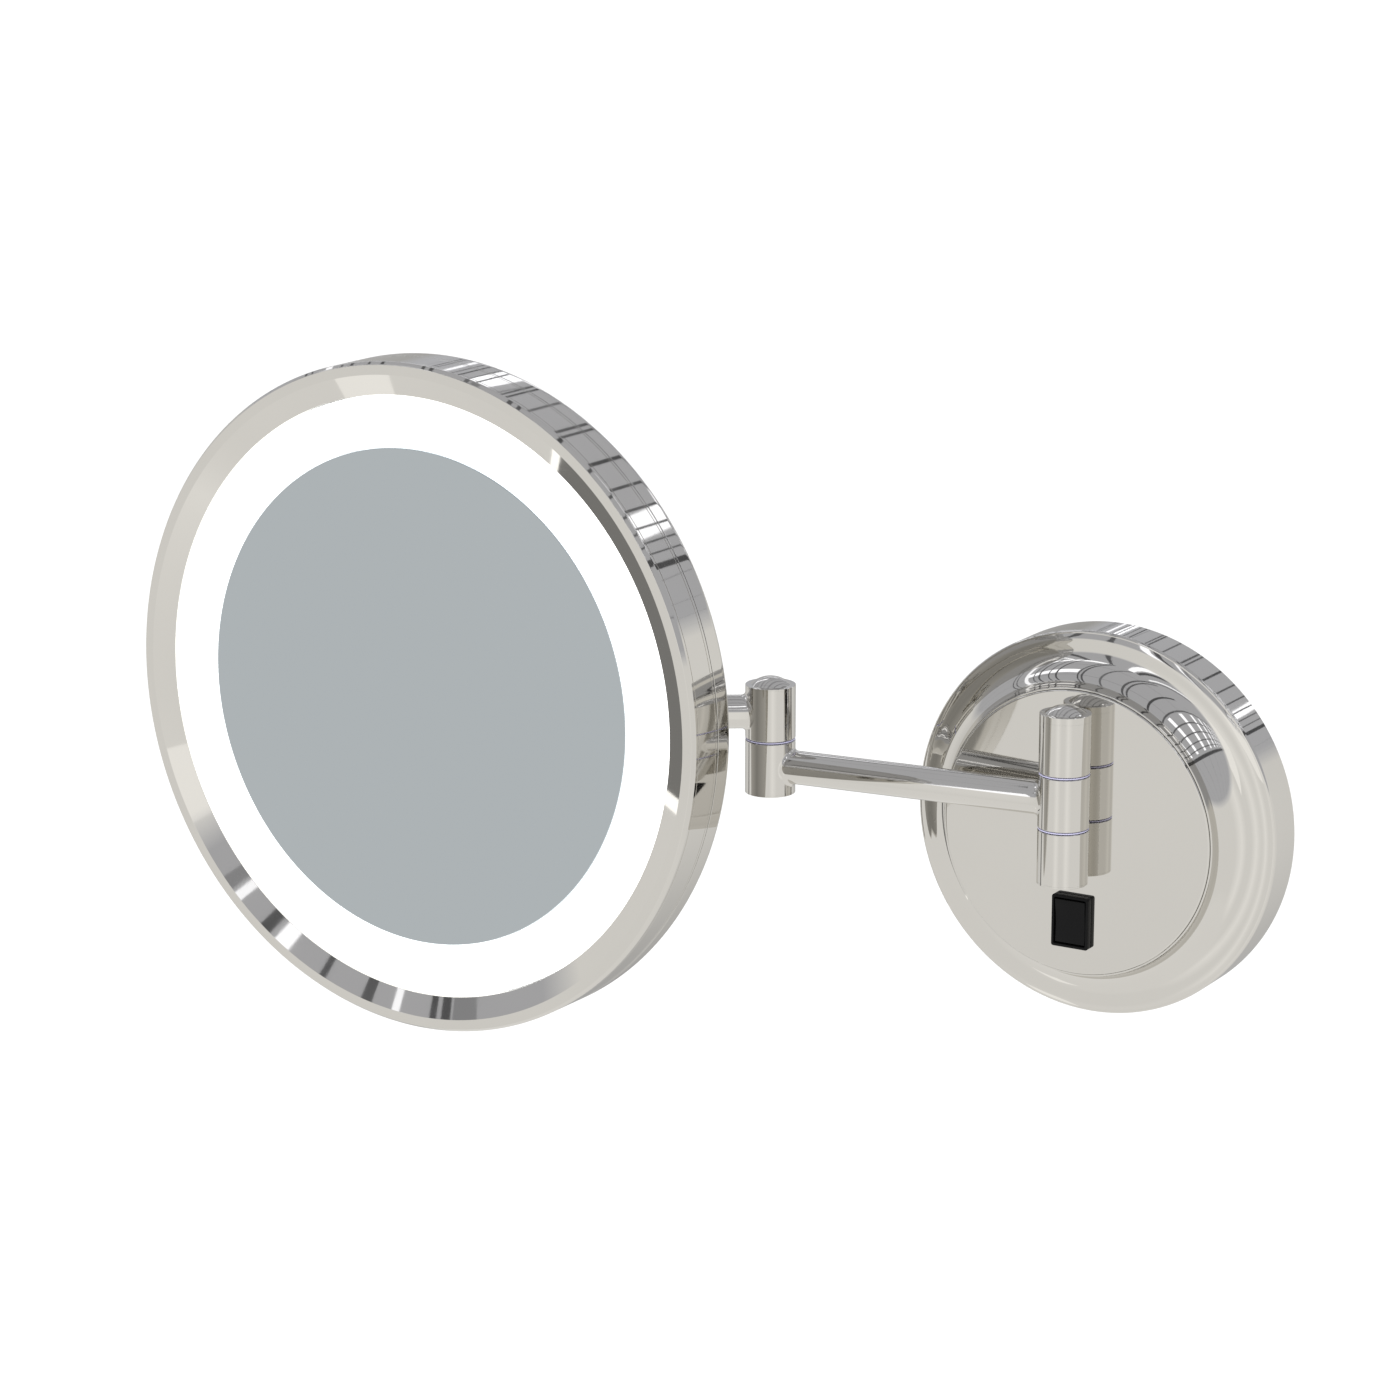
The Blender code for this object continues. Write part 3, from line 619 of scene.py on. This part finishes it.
def washer(name, body, place):
    """A thin bearing washer with a softly rounded rim."""
    low, high = barrel_span(name)
    fillet = (high - low) * 0.3
    outer = BARREL_R - FINE_EDGE
    outline = rounded([(BORE_R, low, 0.0), (outer, low, fillet), (outer, high, fillet),
                       (BORE_R, high, 0.0)], 3)
    piece(name + "_moulded", lathe(outline, MEDIUM), place, body, nylon, [name])


def post():
    post_section("post_upper", 1)
    post_section("post_lower", -1)
    end_cap("post_cap_upper", "wall_unit", POST, 1)
    end_cap("post_cap_lower", "wall_unit", POST, -1)
    for name in ("post_washer_upper", "post_washer_lower"):
        washer(name, "wall_unit", POST)


def switch_housing():
    """The housing's frame on the disc, with its well for the rocker."""
    low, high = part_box("switch_housing")
    face = -low.y
    frame_w = high.x - low.x
    frame_h = high.z - low.z
    ring_low = DISC_FRONT + 0.05 * MM
    frame_mesh = prism(rounded_rectangle(frame_w, frame_h, 0.9 * MM), ring_low, face, 0.25 * MM)
    body_mesh = prism(rounded_rectangle(12.9 * MM, 18.0 * MM, 0.5 * MM), -high.y,
                      ring_low + 0.4 * MM)
    well = prism(rounded_rectangle(frame_w - 2.0 * MM, frame_h - 2.0 * MM, 0.5 * MM),
                 22 * MM, 60 * MM)
    inner = prism(rounded_rectangle(11.9 * MM, 17.0 * MM, 0.4 * MM), 22 * MM, 60 * MM)
    made = merged(cut(frame_mesh, well), cut(body_mesh, inner))
    place = Matrix.Translation((0.0, 0.0, SWITCH_Z)) @ FORWARD
    piece("switch_housing_moulded", made, place, "wall_unit", black,
          ["switch_housing"], 25.0)


def switch_rocker():
    """The rocker: a shallow V in side view, eased all round."""
    low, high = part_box("switch_rocker")
    stem_h = (high.z - low.z) / 2
    half_h = stem_h + 0.6 * MM
    front = low.y
    back = high.y
    neck_y = front + 1.5 * MM
    slope = 0.8 * MM
    dip = 0.6 * MM
    paddle = [(neck_y, -half_h), (front + slope, -half_h)]
    for step in range(1, 8):
        share = step / 8
        z = -half_h + 2 * half_h * share
        paddle.append((front + slope * (1 - share) + dip * sin(pi * share), z))
    paddle += [(front, half_h), (neck_y, half_h)]
    stem = [(back, 0.0), (back - 2.0 * MM, -stem_h), (neck_y - 0.2 * MM, -stem_h),
            (neck_y - 0.2 * MM, stem_h), (back - 2.0 * MM, stem_h)]
    stem_w = (high.x - low.x) / 2
    made = merged(extruded_side(paddle, stem_w + 0.6 * MM, 0.3 * MM),
                  extruded_side(stem, stem_w, 0.2 * MM))
    piece("switch_rocker_moulded", made, Matrix.Identity(4), "switch_rocker",
          black_gloss, ["switch_rocker"], 25.0)


def extruded_side(side, half_w, edge):
    """A solid across X from a side view in (y, height above the switch's middle), with eased edges."""
    made = bmesh.new()
    face = made.faces.new([made.verts.new((-half_w, y, SWITCH_Z + z)) for y, z in side])
    grown = bmesh.ops.extrude_face_region(made, geom=[face])
    shifted = [v for v in grown["geom"] if isinstance(v, bmesh.types.BMVert)]
    bmesh.ops.translate(made, vec=(2 * half_w, 0, 0), verts=shifted)
    bmesh.ops.recalc_face_normals(made, faces=made.faces)
    rims = [e for e in made.edges if len(e.link_faces) == 2 and e.calc_face_angle() > 0.8]
    bmesh.ops.bevel(made, geom=rims, offset=edge, segments=3, profile=0.5, affect="EDGES")
    return made


# Arm and neck --------------------------------------------------------------------------------


def welded_tube(name, body, place, length, height):
    """A tube along X whose ends flare into a small weld fillet round each barrel."""
    around = 72
    end_rows = 9
    sunk = 0.08 * MM
    rows = []
    for row in range(end_rows + 1):
        share = row / end_rows
        rows.append([flare_point(2 * pi * n / around, share, sunk) for n in range(around)])
    near = [[(x, y, z) for x, y, z in row] for row in rows]
    far = [[(length - x, y, z) for x, y, z in row] for row in reversed(rows)]
    clear = BARREL_R + WELD + 1.2 * MM
    steady = [[(x, TUBE_R * cos(2 * pi * n / around), TUBE_R * sin(2 * pi * n / around))
               for n in range(around)] for x in (clear, length - clear)]
    made = bmesh.new()
    rings = [[made.verts.new(p) for p in row] for row in near + steady + far]
    for first, second in zip(rings, rings[1:]):
        bridge(made, first, second)
    made.faces.new(rings[0])
    made.faces.new(list(reversed(rings[-1])))
    piece(name + "_polished", made, place @ Matrix.Translation((0.0, 0.0, height)), body,
          nickel, [name], 50.0)


def flare_point(turn, share, sunk):
    """A point of the fillet, from the barrel's surface at share 0 to the plain tube at share 1."""
    wide = TUBE_R + WELD
    barrel = BARREL_R - sunk
    side = cos(turn)
    up = sin(turn)
    foot = Vector((sqrt(barrel ** 2 - (wide * side) ** 2), wide * side, wide * up))
    corner_x = sqrt(barrel ** 2 - (TUBE_R * side) ** 2)
    corner = Vector((corner_x, TUBE_R * side, TUBE_R * up))
    end = corner + Vector((WELD, 0.0, 0.0))
    return tuple(foot * (1 - share) ** 2 + corner * (2 * share * (1 - share)) + end * share ** 2)


def plain_barrel(name, body, place, capped=0):
    low, high = barrel_span(name)
    made = barrel_mesh(low, high, capped)
    piece(name + "_polished", made, place, body, nickel, [name])


def arm():
    place = link_place("arm_swing", "knuckle_swing")
    length = link_length("arm_swing", "knuckle_swing")
    low, high = barrel_span("arm_barrel")
    plain_barrel("arm_barrel", "arm", POST)
    welded_tube("arm_tube", "arm", place, length, (low + high) / 2)
    knuckle = upright_place("knuckle_swing")
    plain_barrel("knuckle_lower", "arm", knuckle, -1)
    end_cap("knuckle_cap_lower", "arm", knuckle, -1)
    washer("knuckle_washer", "arm", knuckle)


def neck():
    place = link_place("knuckle_swing", "head_swivel")
    length = link_length("knuckle_swing", "head_swivel")
    low, high = barrel_span("knuckle_upper")
    knuckle = upright_place("knuckle_swing")
    plain_barrel("knuckle_upper", "neck", knuckle, 1)
    end_cap("knuckle_cap_upper", "neck", knuckle, 1)
    welded_tube("neck_tube", "neck", place, length, (low + high) / 2)
    swivel = upright_place("head_swivel")
    plain_barrel("swivel_lower", "neck", swivel, -1)
    end_cap("swivel_cap_lower", "neck", swivel, -1)
    washer("swivel_washer", "neck", swivel)


def swivel():
    """The upper half of the swivel, with the cross hole that the tilt pin goes through."""
    place = upright_place("head_swivel")
    low, high = barrel_span("swivel_upper")
    hole = rod(3.3 * MM, -20 * MM, 20 * MM)
    across = Matrix.Rotation(radians(90), 4, "Y")
    turn = HEAD.to_3x3().to_4x4()
    centre = Matrix.Translation((0.0, 0.0, joint_point("head_tilt").z))
    made = cut(barrel_mesh(low, high, 1), moved(hole, centre @ turn @ across))
    piece("swivel_upper_polished", made, place, "swivel", nickel, ["swivel_upper"])
    end_cap("swivel_cap_upper", "swivel", place, 1)


# Mirror head ---------------------------------------------------------------------------------


COVER_SCREW_CIRCLE = 104 * MM
COVER_SCREWS = [(COVER_SCREW_CIRCLE * cos(radians(a)), COVER_SCREW_CIRCLE * sin(radians(a)))
                for a in (45, 135, 225, 315)]
BRACKET_SCREWS = [(x * MM, z * MM) for x in (-17.5, 17.5) for z in (-10.0, 16.0)]


def from_lip(outline):
    """An outline in millimetres as (radius, distance behind the lip), made ready to turn."""
    return [(radius * MM, -back * MM) for radius, back in outline]


def head_rim():
    """Side wall with its seams, rolled lip and the polished, conical bezel."""
    side = HEAD_R / MM
    seam = side - 0.2
    outline = rounded([
        (side, 16.0, 0.15), (side, 14.75, 0.05), (seam, 14.7, 0.0), (seam, 14.5, 0.0),
        (side, 14.45, 0.05), (side, 3.25, 0.05), (seam, 3.2, 0.0), (seam, 3.0, 0.0),
        (side, 2.95, 0.05), (side, 1.6, 0.8), (126.9, 0.0, 0.3), (123.2, 0.0, 0.3),
        (115.2, 3.7, 0.15), (115.2, 6.7, 0.0), (116.4, 6.7, 0.0), (116.4, 5.3, 0.0),
        (126.4, 2.8, 0.0), (126.4, 16.0, 0.0)], 5)
    piece("head_rim_polished", lathe(from_lip(outline), FINE), HEAD_FRONT, "head",
          nickel, ["head_rim"], 30.0)


def back_cover():
    """The cover: a rounded edge, a shallow ring groove and holes for its screws."""
    side = HEAD_R / MM
    back = HEAD_DEPTH / MM
    outline = rounded([
        (side, 16.3, 0.15), (side, back, 2.4), (118.2, back, 0.15), (117.9, back - 0.3, 0.0),
        (117.3, back - 0.3, 0.0), (117.0, back, 0.15), (0.0, back, 0.0), (0.0, 23.5, 0.0),
        (125.5, 23.5, 0.0), (126.4, 22.6, 0.0), (126.4, 16.3, 0.0)], 10)
    made = lathe(from_lip(outline), FINE)
    for x, z in COVER_SCREWS + BRACKET_SCREWS:
        hole = rod(SCREW_HOLE_R, -28 * MM, -22 * MM)
        made = cut(made, moved(hole, Matrix.Translation((x, z, 0.0))))
    piece("back_cover_polished", made, HEAD_FRONT, "head", nickel, ["back_cover"], 30.0)


def mirror_glass():
    outline = rounded([(0.0, 4.9, 0.0), (GLASS_R / MM, 4.9, 0.35), (GLASS_R / MM, 8.9, 0.3),
                       (0.0, 8.9, 0.0)], 4)
    piece("mirror_glass_silvered", lathe(from_lip(outline), FINE), HEAD_FRONT, "head",
          silvered, ["mirror_glass"])


def light_diffuser():
    outline = rounded([(95.5, 4.6, 0.3), (114.9, 4.6, 0.3), (114.9, 7.6, 0.2), (95.5, 7.6, 0.2)],
                      3)
    piece("light_diffuser_frosted", lathe(from_lip(outline), FINE), HEAD_FRONT, "head",
          opal, ["light_diffuser"])


def tilt_bracket():
    """Base plate with rounded corners and two cheeks that end in round noses."""
    base_front = LIP_TO_AXIS - HEAD_DEPTH - GAP
    plate = prism(rounded_rectangle(46 * MM, 34 * MM, 4 * MM), 0.0, 3.0 * MM, 0.5 * MM)
    plate.transform(Matrix.Translation((0.0, -base_front + 3.0 * MM, -3.0 * MM)) @ FORWARD)
    parts = [plate]
    for side in (-1, 1):
        inner = side * (BARREL_R + 2 * GAP)
        outer = inner + side * CHEEK_THICK
        parts.append(cheek(min(inner, outer), max(inner, outer), base_front - 1.0 * MM))
    made = merged(*parts)
    for x, z in BRACKET_SCREWS:
        hole = rod(SCREW_HOLE_R, 10 * MM, 30 * MM)
        made = cut(made, moved(hole, Matrix.Translation((x, 0.0, z - HEAD_DROP)) @ FORWARD))
    piece("tilt_bracket_polished", made, HEAD, "head", nickel, ["tilt_bracket"], 30.0)


def cheek(low, high, reach):
    """A cheek across X: a round nose about the tilt axis, widening to its root at -Y."""
    nose_r = 8.0 * MM
    turns = [pi / 2 - pi * n / 24 for n in range(25)]
    profile = [(nose_r * cos(turn), nose_r * sin(turn)) for turn in turns]
    profile += [(-reach + 2.5 * MM, -nose_r), (-reach + 1.0 * MM, -nose_r - 0.5 * MM),
                (-reach, -nose_r - 2.0 * MM), (-reach, nose_r + 2.0 * MM),
                (-reach + 1.0 * MM, nose_r + 0.5 * MM), (-reach + 2.5 * MM, nose_r)]
    made = prism(profile, low, high, 0.4 * MM)
    made.transform(Matrix(((0, 0, 1, 0), (1, 0, 0, 0), (0, 1, 0, 0), (0, 0, 0, 1))))
    return made


def socket_screw(name, place, head_r, head_h, shank_r, shank, key):
    """A zinc screw along Z: a head from 0 upwards with a hexagon socket, and a shank below."""
    outline = rounded([(0.0, -shank, 0.0), (shank_r, -shank, 0.3 * MM), (shank_r, 0.0, 0.0),
                       (head_r, 0.0, 0.15 * MM), (head_r, head_h, 0.45 * head_h),
                       (0.0, head_h, 0.0)], 5)
    made = lathe(outline, 40)
    socket = [(key * cos(pi * n / 3), key * sin(pi * n / 3)) for n in range(6)]
    made = cut(made, prism(socket, head_h * 0.35, head_h + 2 * MM))
    piece(name + "_zinc", made, place, "head", zinc, [name], 28.0)


def head_screws():
    """Screws put into the head from behind."""
    behind = Matrix.Rotation(radians(180), 4, "X")
    for number, (x, z) in enumerate(COVER_SCREWS, 1):
        place = HEAD_FRONT @ Matrix.Translation((x, z, -HEAD_DEPTH - GAP)) @ behind
        socket_screw(f"cover_screw_{number}", place, 3 * MM, 1.5 * MM, 1.5 * MM, 6 * MM, 1.1 * MM)
    for number, (x, z) in enumerate(BRACKET_SCREWS, 1):
        place = HEAD_FRONT @ Matrix.Translation((x, z, -HEAD_DEPTH - 3.6 * MM)) @ behind
        socket_screw(f"bracket_screw_{number}", place, 3 * MM, 1.5 * MM, 1.5 * MM, 7 * MM,
                     1.1 * MM)


def tilt_pin():
    """The bolt through the cheeks and the swivel, and its nut."""
    outside = BARREL_R + 2 * GAP + CHEEK_THICK + GAP
    along = HEAD @ Matrix.Rotation(radians(-90), 4, "Y")
    socket_screw("tilt_pin", along @ Matrix.Translation((0, 0, outside)), 4.8 * MM, 2.4 * MM,
                 3.0 * MM, 2 * outside + 3.1 * MM, 1.7 * MM)
    hexagon = [(5.55 * MM * cos(pi * n / 3), 5.55 * MM * sin(pi * n / 3)) for n in range(6)]
    nut = prism(hexagon, outside, outside + 3 * MM)
    rims = [e for e in nut.edges if abs(e.verts[0].co.z - e.verts[1].co.z) < 1e-8]
    bmesh.ops.bevel(nut, geom=rims, offset=0.3 * MM, segments=2, affect="EDGES")
    nut = cut(nut, rod(3.25 * MM, 0.0, 40 * MM))
    piece("tilt_nut_zinc", nut, HEAD @ Matrix.Rotation(radians(90), 4, "Y"), "head",
          zinc, ["tilt_nut"], 28.0)


# Setting -------------------------------------------------------------------------------------

# The camera's bearing from the -Y direction, its height angle, distance and aim.
BEARING = 31.08
HEIGHT_ANGLE = 14.19
DISTANCE = 1.642
AIM = Vector((-0.15544, -0.050, 0.03509))
LENS = 108.05


def camera():
    data = bpy.data.cameras.new("camera")
    data.lens = LENS
    data.sensor_width = 36.0
    data.sensor_fit = "HORIZONTAL"
    data.clip_start = 0.05
    data.clip_end = 50.0
    obj = bpy.data.objects.new("camera", data)
    bpy.context.scene.collection.objects.link(obj)
    bearing = radians(BEARING)
    height = radians(HEIGHT_ANGLE)
    away = Vector((sin(bearing) * cos(height), -cos(bearing) * cos(height), sin(height)))
    obj.location = AIM + away * DISTANCE
    obj.rotation_euler = away.to_track_quat("Z", "Y").to_euler()
    bpy.context.scene.camera = obj


def floor():
    """A wide pale floor well below the mirror."""
    made = lathe([(0.0, -0.02), (6.0, -0.02), (6.0, 0.0), (0.0, 0.0)], 64)
    mesh = bpy.data.meshes.new("floor")
    made.to_mesh(mesh)
    made.free()
    obj = bpy.data.objects.new("floor", mesh)
    bpy.context.scene.collection.objects.link(obj)
    obj.location = (0.0, 0.0, cad_box[0][2] - 0.55)
    paint, nodes, shader = new_material("pale_floor", Roughness=0.9, Specular_IOR_Level=0.1)
    varied(nodes, shader, (0.95, 0.95, 0.95), 0.01, nodes.noise(3.0, 3.0))
    mesh.materials.append(paint)
    obj.visible_glossy = False


def soft_light():
    """One large soft light above and in front. The room below gives the reflections."""
    data = bpy.data.lights.new("overhead", "AREA")
    data.shape = "DISK"
    data.size = 1.6
    data.energy = 14.0
    obj = bpy.data.objects.new("overhead", data)
    bpy.context.scene.collection.objects.link(obj)
    obj.location = (-0.3, -1.4, 1.9)
    aim = Vector((-0.15, -0.05, 0.0)) - obj.location
    obj.rotation_euler = aim.to_track_quat("-Z", "Y").to_euler()
    obj.visible_glossy = False


# Bearings and heights of the room are in degrees: bearings clockwise from -Y, heights above level.

# Walls all round at one level, with a dim corner behind the mirror and two soft windows in front
# of it, as (bearing, level).
WALL_TONES = [
    (-180, 0.6), (-150, 0.4), (-110, 0.75), (-80, 0.9), (-20, 0.9), (-5, 1.05), (10, 0.9),
    (25, 0.9), (40, 1.05), (60, 0.9), (145, 0.9), (180, 0.6),
]

# A dark screen with a bright edge above and below it, a lamp on the floor and a bright strip at
# eye level, as (first bearing, last bearing, lower height, upper height, level).
PANELS = [
    (-89, -81, -33.5, -11.4, 0.25), (-89, -81, -11.4, -10.3, 1.7), (-89, -78, -34.2, -33.5, 1.7),
    (-57, -45, -52.0, -45.6, 1.18), (-3, 20, -1.5, 8.0, 1.16),
]

# Dark beams and one roof light of the ceiling, which run along Y, as (place across, half width,
# level). Places on the ceiling are in multiples of its height above the mirror.
BEAMS = [
    (-1.92, 0.020, 0.12), (-1.79, 0.015, 0.12), (-1.50, 0.05, 1.5), (-1.32, 0.012, 0.12),
    (-1.20, 0.018, 0.12), (-1.02, 0.010, 0.12), (-0.90, 0.014, 0.12), (-0.60, 0.010, 0.12),
    (-0.55, 0.012, 0.12), (-0.34, 0.012, 0.20), (-0.10, 0.012, 0.14), (-0.05, 0.010, 0.14),
    (0.20, 0.014, 0.10), (0.42, 0.012, 0.14), (0.62, 0.012, 0.16), (0.80, 0.012, 0.16),
    (0.97, 0.012, 0.16), (1.12, 0.012, 0.16), (1.32, 0.050, 0.10),
]

# Beams and roof lights in front of the mirror, which fan out from overhead, as (bearing, half
# width, level).
FRONT_BEAMS = [
    (-49, 2.0, 0.34), (-45.8, 0.8, 0.12), (-43.6, 0.6, 0.12), (-37, 0.7, 1.5), (-31.6, 1.0, 0.15),
    (-23, 0.6, 0.14), (-15, 1.3, 1.7), (-11.8, 0.9, 0.13), (-6.5, 0.6, 1.5), (-4.6, 0.8, 0.34),
]

# Two groups of lamp strips that run across the beams, as (first place across, last place across,
# spacing along Y, width, place along Y of one strip).
LAMP_STRIPS = [(-1.50, -0.62, 1.06, 0.24, 1.85), (0.46, 1.20, 0.82, 0.20, 1.70)]
LAMP_LEVEL = 1.7

# Thin joints that cross the beams, as spacing, width and level, and the even level of the floor.
JOINT_SPACING = 0.82
JOINT_WIDTH = 0.016
JOINT_LEVEL = 0.30
FLOOR_LEVEL = 0.93


def room():
    """Soft room that only reflections see: a grey ceiling with beams and windows, and warm walls."""
    world = bpy.data.worlds.new("room")
    world.use_nodes = True
    bpy.context.scene.world = world
    tree = world.node_tree
    nodes = Nodes(tree)
    background = tree.nodes["Background"]
    direction = tree.nodes.new("ShaderNodeTexCoord").outputs["Generated"]
    split = tree.nodes.new("ShaderNodeSeparateXYZ")
    nodes.put(split.inputs[0], direction)
    x, y, z = split.outputs
    bearing = nodes.math("ARCTAN2", x, nodes.math("MULTIPLY", y, -1.0))
    height = nodes.math("ARCSINE", z)
    walls = wall_tone(nodes, bearing, height)
    ceiling = ceiling_tone(nodes, bearing, x, y, z)
    above = nodes.remap(height, radians(7.0), radians(11.5), 0.0, 1.0)
    tone = nodes.math("ADD", nodes.math("MULTIPLY", ceiling, above),
                      nodes.math("MULTIPLY", walls, nodes.math("SUBTRACT", 1.0, above)))
    warm = nodes.mix(above, (1.0, 0.99, 0.972, 1.0), (0.97, 0.983, 1.045, 1.0))
    shaded = tree.nodes.new("ShaderNodeVectorMath")
    shaded.operation = "SCALE"
    nodes.put(shaded.inputs[0], warm)
    nodes.put(shaded.inputs["Scale"], tone)
    rays = tree.nodes.new("ShaderNodeLightPath")
    lit = nodes.mix(rays.outputs["Is Glossy Ray"], (1.12, 1.12, 1.12, 1.0), shaded.outputs[0])
    nodes.put(background.inputs["Color"], lit)


def replaced(nodes, tone, share, level):
    """The tone, or the given level where the share is 1."""
    kept = nodes.math("MULTIPLY", tone, nodes.math("SUBTRACT", 1.0, share))
    return nodes.math("MULTIPLY_ADD", share, level, kept)


def wall_tone(nodes, bearing, height):
    """Walls with soft upright bands, an even floor further down, and a few panels."""
    share = nodes.remap(bearing, -pi, pi, 0.0, 1.0)
    ramp = nodes.tree.nodes.new("ShaderNodeValToRGB")
    nodes.put(ramp.inputs[0], share)
    stops = ramp.color_ramp.elements
    for index, (degrees, level) in enumerate(WALL_TONES):
        position = (degrees + 180) / 360
        stop = stops[index] if index < 2 else stops.new(position)
        stop.position = position
        stop.color = (level, level, level, 1.0)
    down = nodes.remap(height, radians(-37.0), radians(-46.0), 0.0, 1.0)
    tone = replaced(nodes, ramp.outputs[0], down, FLOOR_LEVEL)
    for first, last, low, high, level in PANELS:
        across = nodes.math("COMPARE", bearing, radians((first + last) / 2),
                            radians((last - first) / 2))
        within = nodes.math("COMPARE", height, radians((low + high) / 2), radians((high - low) / 2))
        tone = replaced(nodes, tone, nodes.math("MULTIPLY", across, within), level)
    return tone


def lines(nodes, coordinate, period, width, place=0.0):
    """1 on lines of the given width, one of them at the given place, and 0 between them."""
    phase = nodes.math("MULTIPLY_ADD", coordinate, 1 / period, 0.5 - place / period)
    return nodes.math("COMPARE", nodes.math("FRACT", phase), 0.5, width / period / 2)


def ceiling_tone(nodes, bearing, x, y, z):
    """A flat grey ceiling with beams, roof lights and lamp strips."""
    rise = nodes.math("MAXIMUM", z, 0.02)
    across = nodes.math("DIVIDE", x, rise)
    along = nodes.math("DIVIDE", y, rise)
    tone = nodes.remap(z, 0.1, 0.9, 0.56, 0.54)
    tone = replaced(nodes, tone, lines(nodes, along, JOINT_SPACING, JOINT_WIDTH), JOINT_LEVEL)
    for first, last, spacing, width, place in LAMP_STRIPS:
        within = nodes.math("COMPARE", across, (first + last) / 2, (last - first) / 2)
        strips = lines(nodes, along, spacing, width, place)
        tone = replaced(nodes, tone, nodes.math("MULTIPLY", within, strips), LAMP_LEVEL)
    for place, half_width, level in BEAMS:
        tone = replaced(nodes, tone, nodes.math("COMPARE", across, place, half_width), level)
    front = 0.55
    for middle, half_width, level in FRONT_BEAMS:
        on_beam = nodes.math("COMPARE", bearing, radians(middle), radians(half_width))
        front = replaced(nodes, front, on_beam, level)
    in_front = nodes.math("MULTIPLY", nodes.math("LESS_THAN", along, -1.4),
                          nodes.math("LESS_THAN", across, 0.3))
    return replaced(nodes, tone, in_front, front)


# Assembly ------------------------------------------------------------------------------------


def carried_over_nodes():
    """The CAD nodes that stay as they are take the procedural material of their slot."""
    finishes = {
        "rosette_grub_screw": "steel", "post_screw_upper": "steel", "post_screw_lower": "steel",
        "post_pin": "steel", "led_driver": "white_plastic", "terminal_block": "white_plastic",
        "arm_wire": "wire", "knuckle_pin": "steel", "neck_wire": "wire", "swivel_pin": "steel",
        "mirror_carrier": "aluminium", "diffuser_seal": "rubber", "head_chassis": "aluminium",
        "lamp_board": "board",
    }
    for name, slot in finishes.items():
        mesh = frame["nodes"][name].data
        mesh.materials.clear()
        mesh.materials.append(SLOT_MATERIALS[slot])


camera()
floor()
soft_light()
room()
wall_plate()
cable_grommet()
rosette_shell()
rosette_disc()
post()
switch_housing()
switch_rocker()
arm()
neck()
swivel()
head_rim()
back_cover()
mirror_glass()
light_diffuser()
tilt_bracket()
head_screws()
tilt_pin()
carried_over_nodes()
bpy.context.scene.view_settings.view_transform = "Standard"
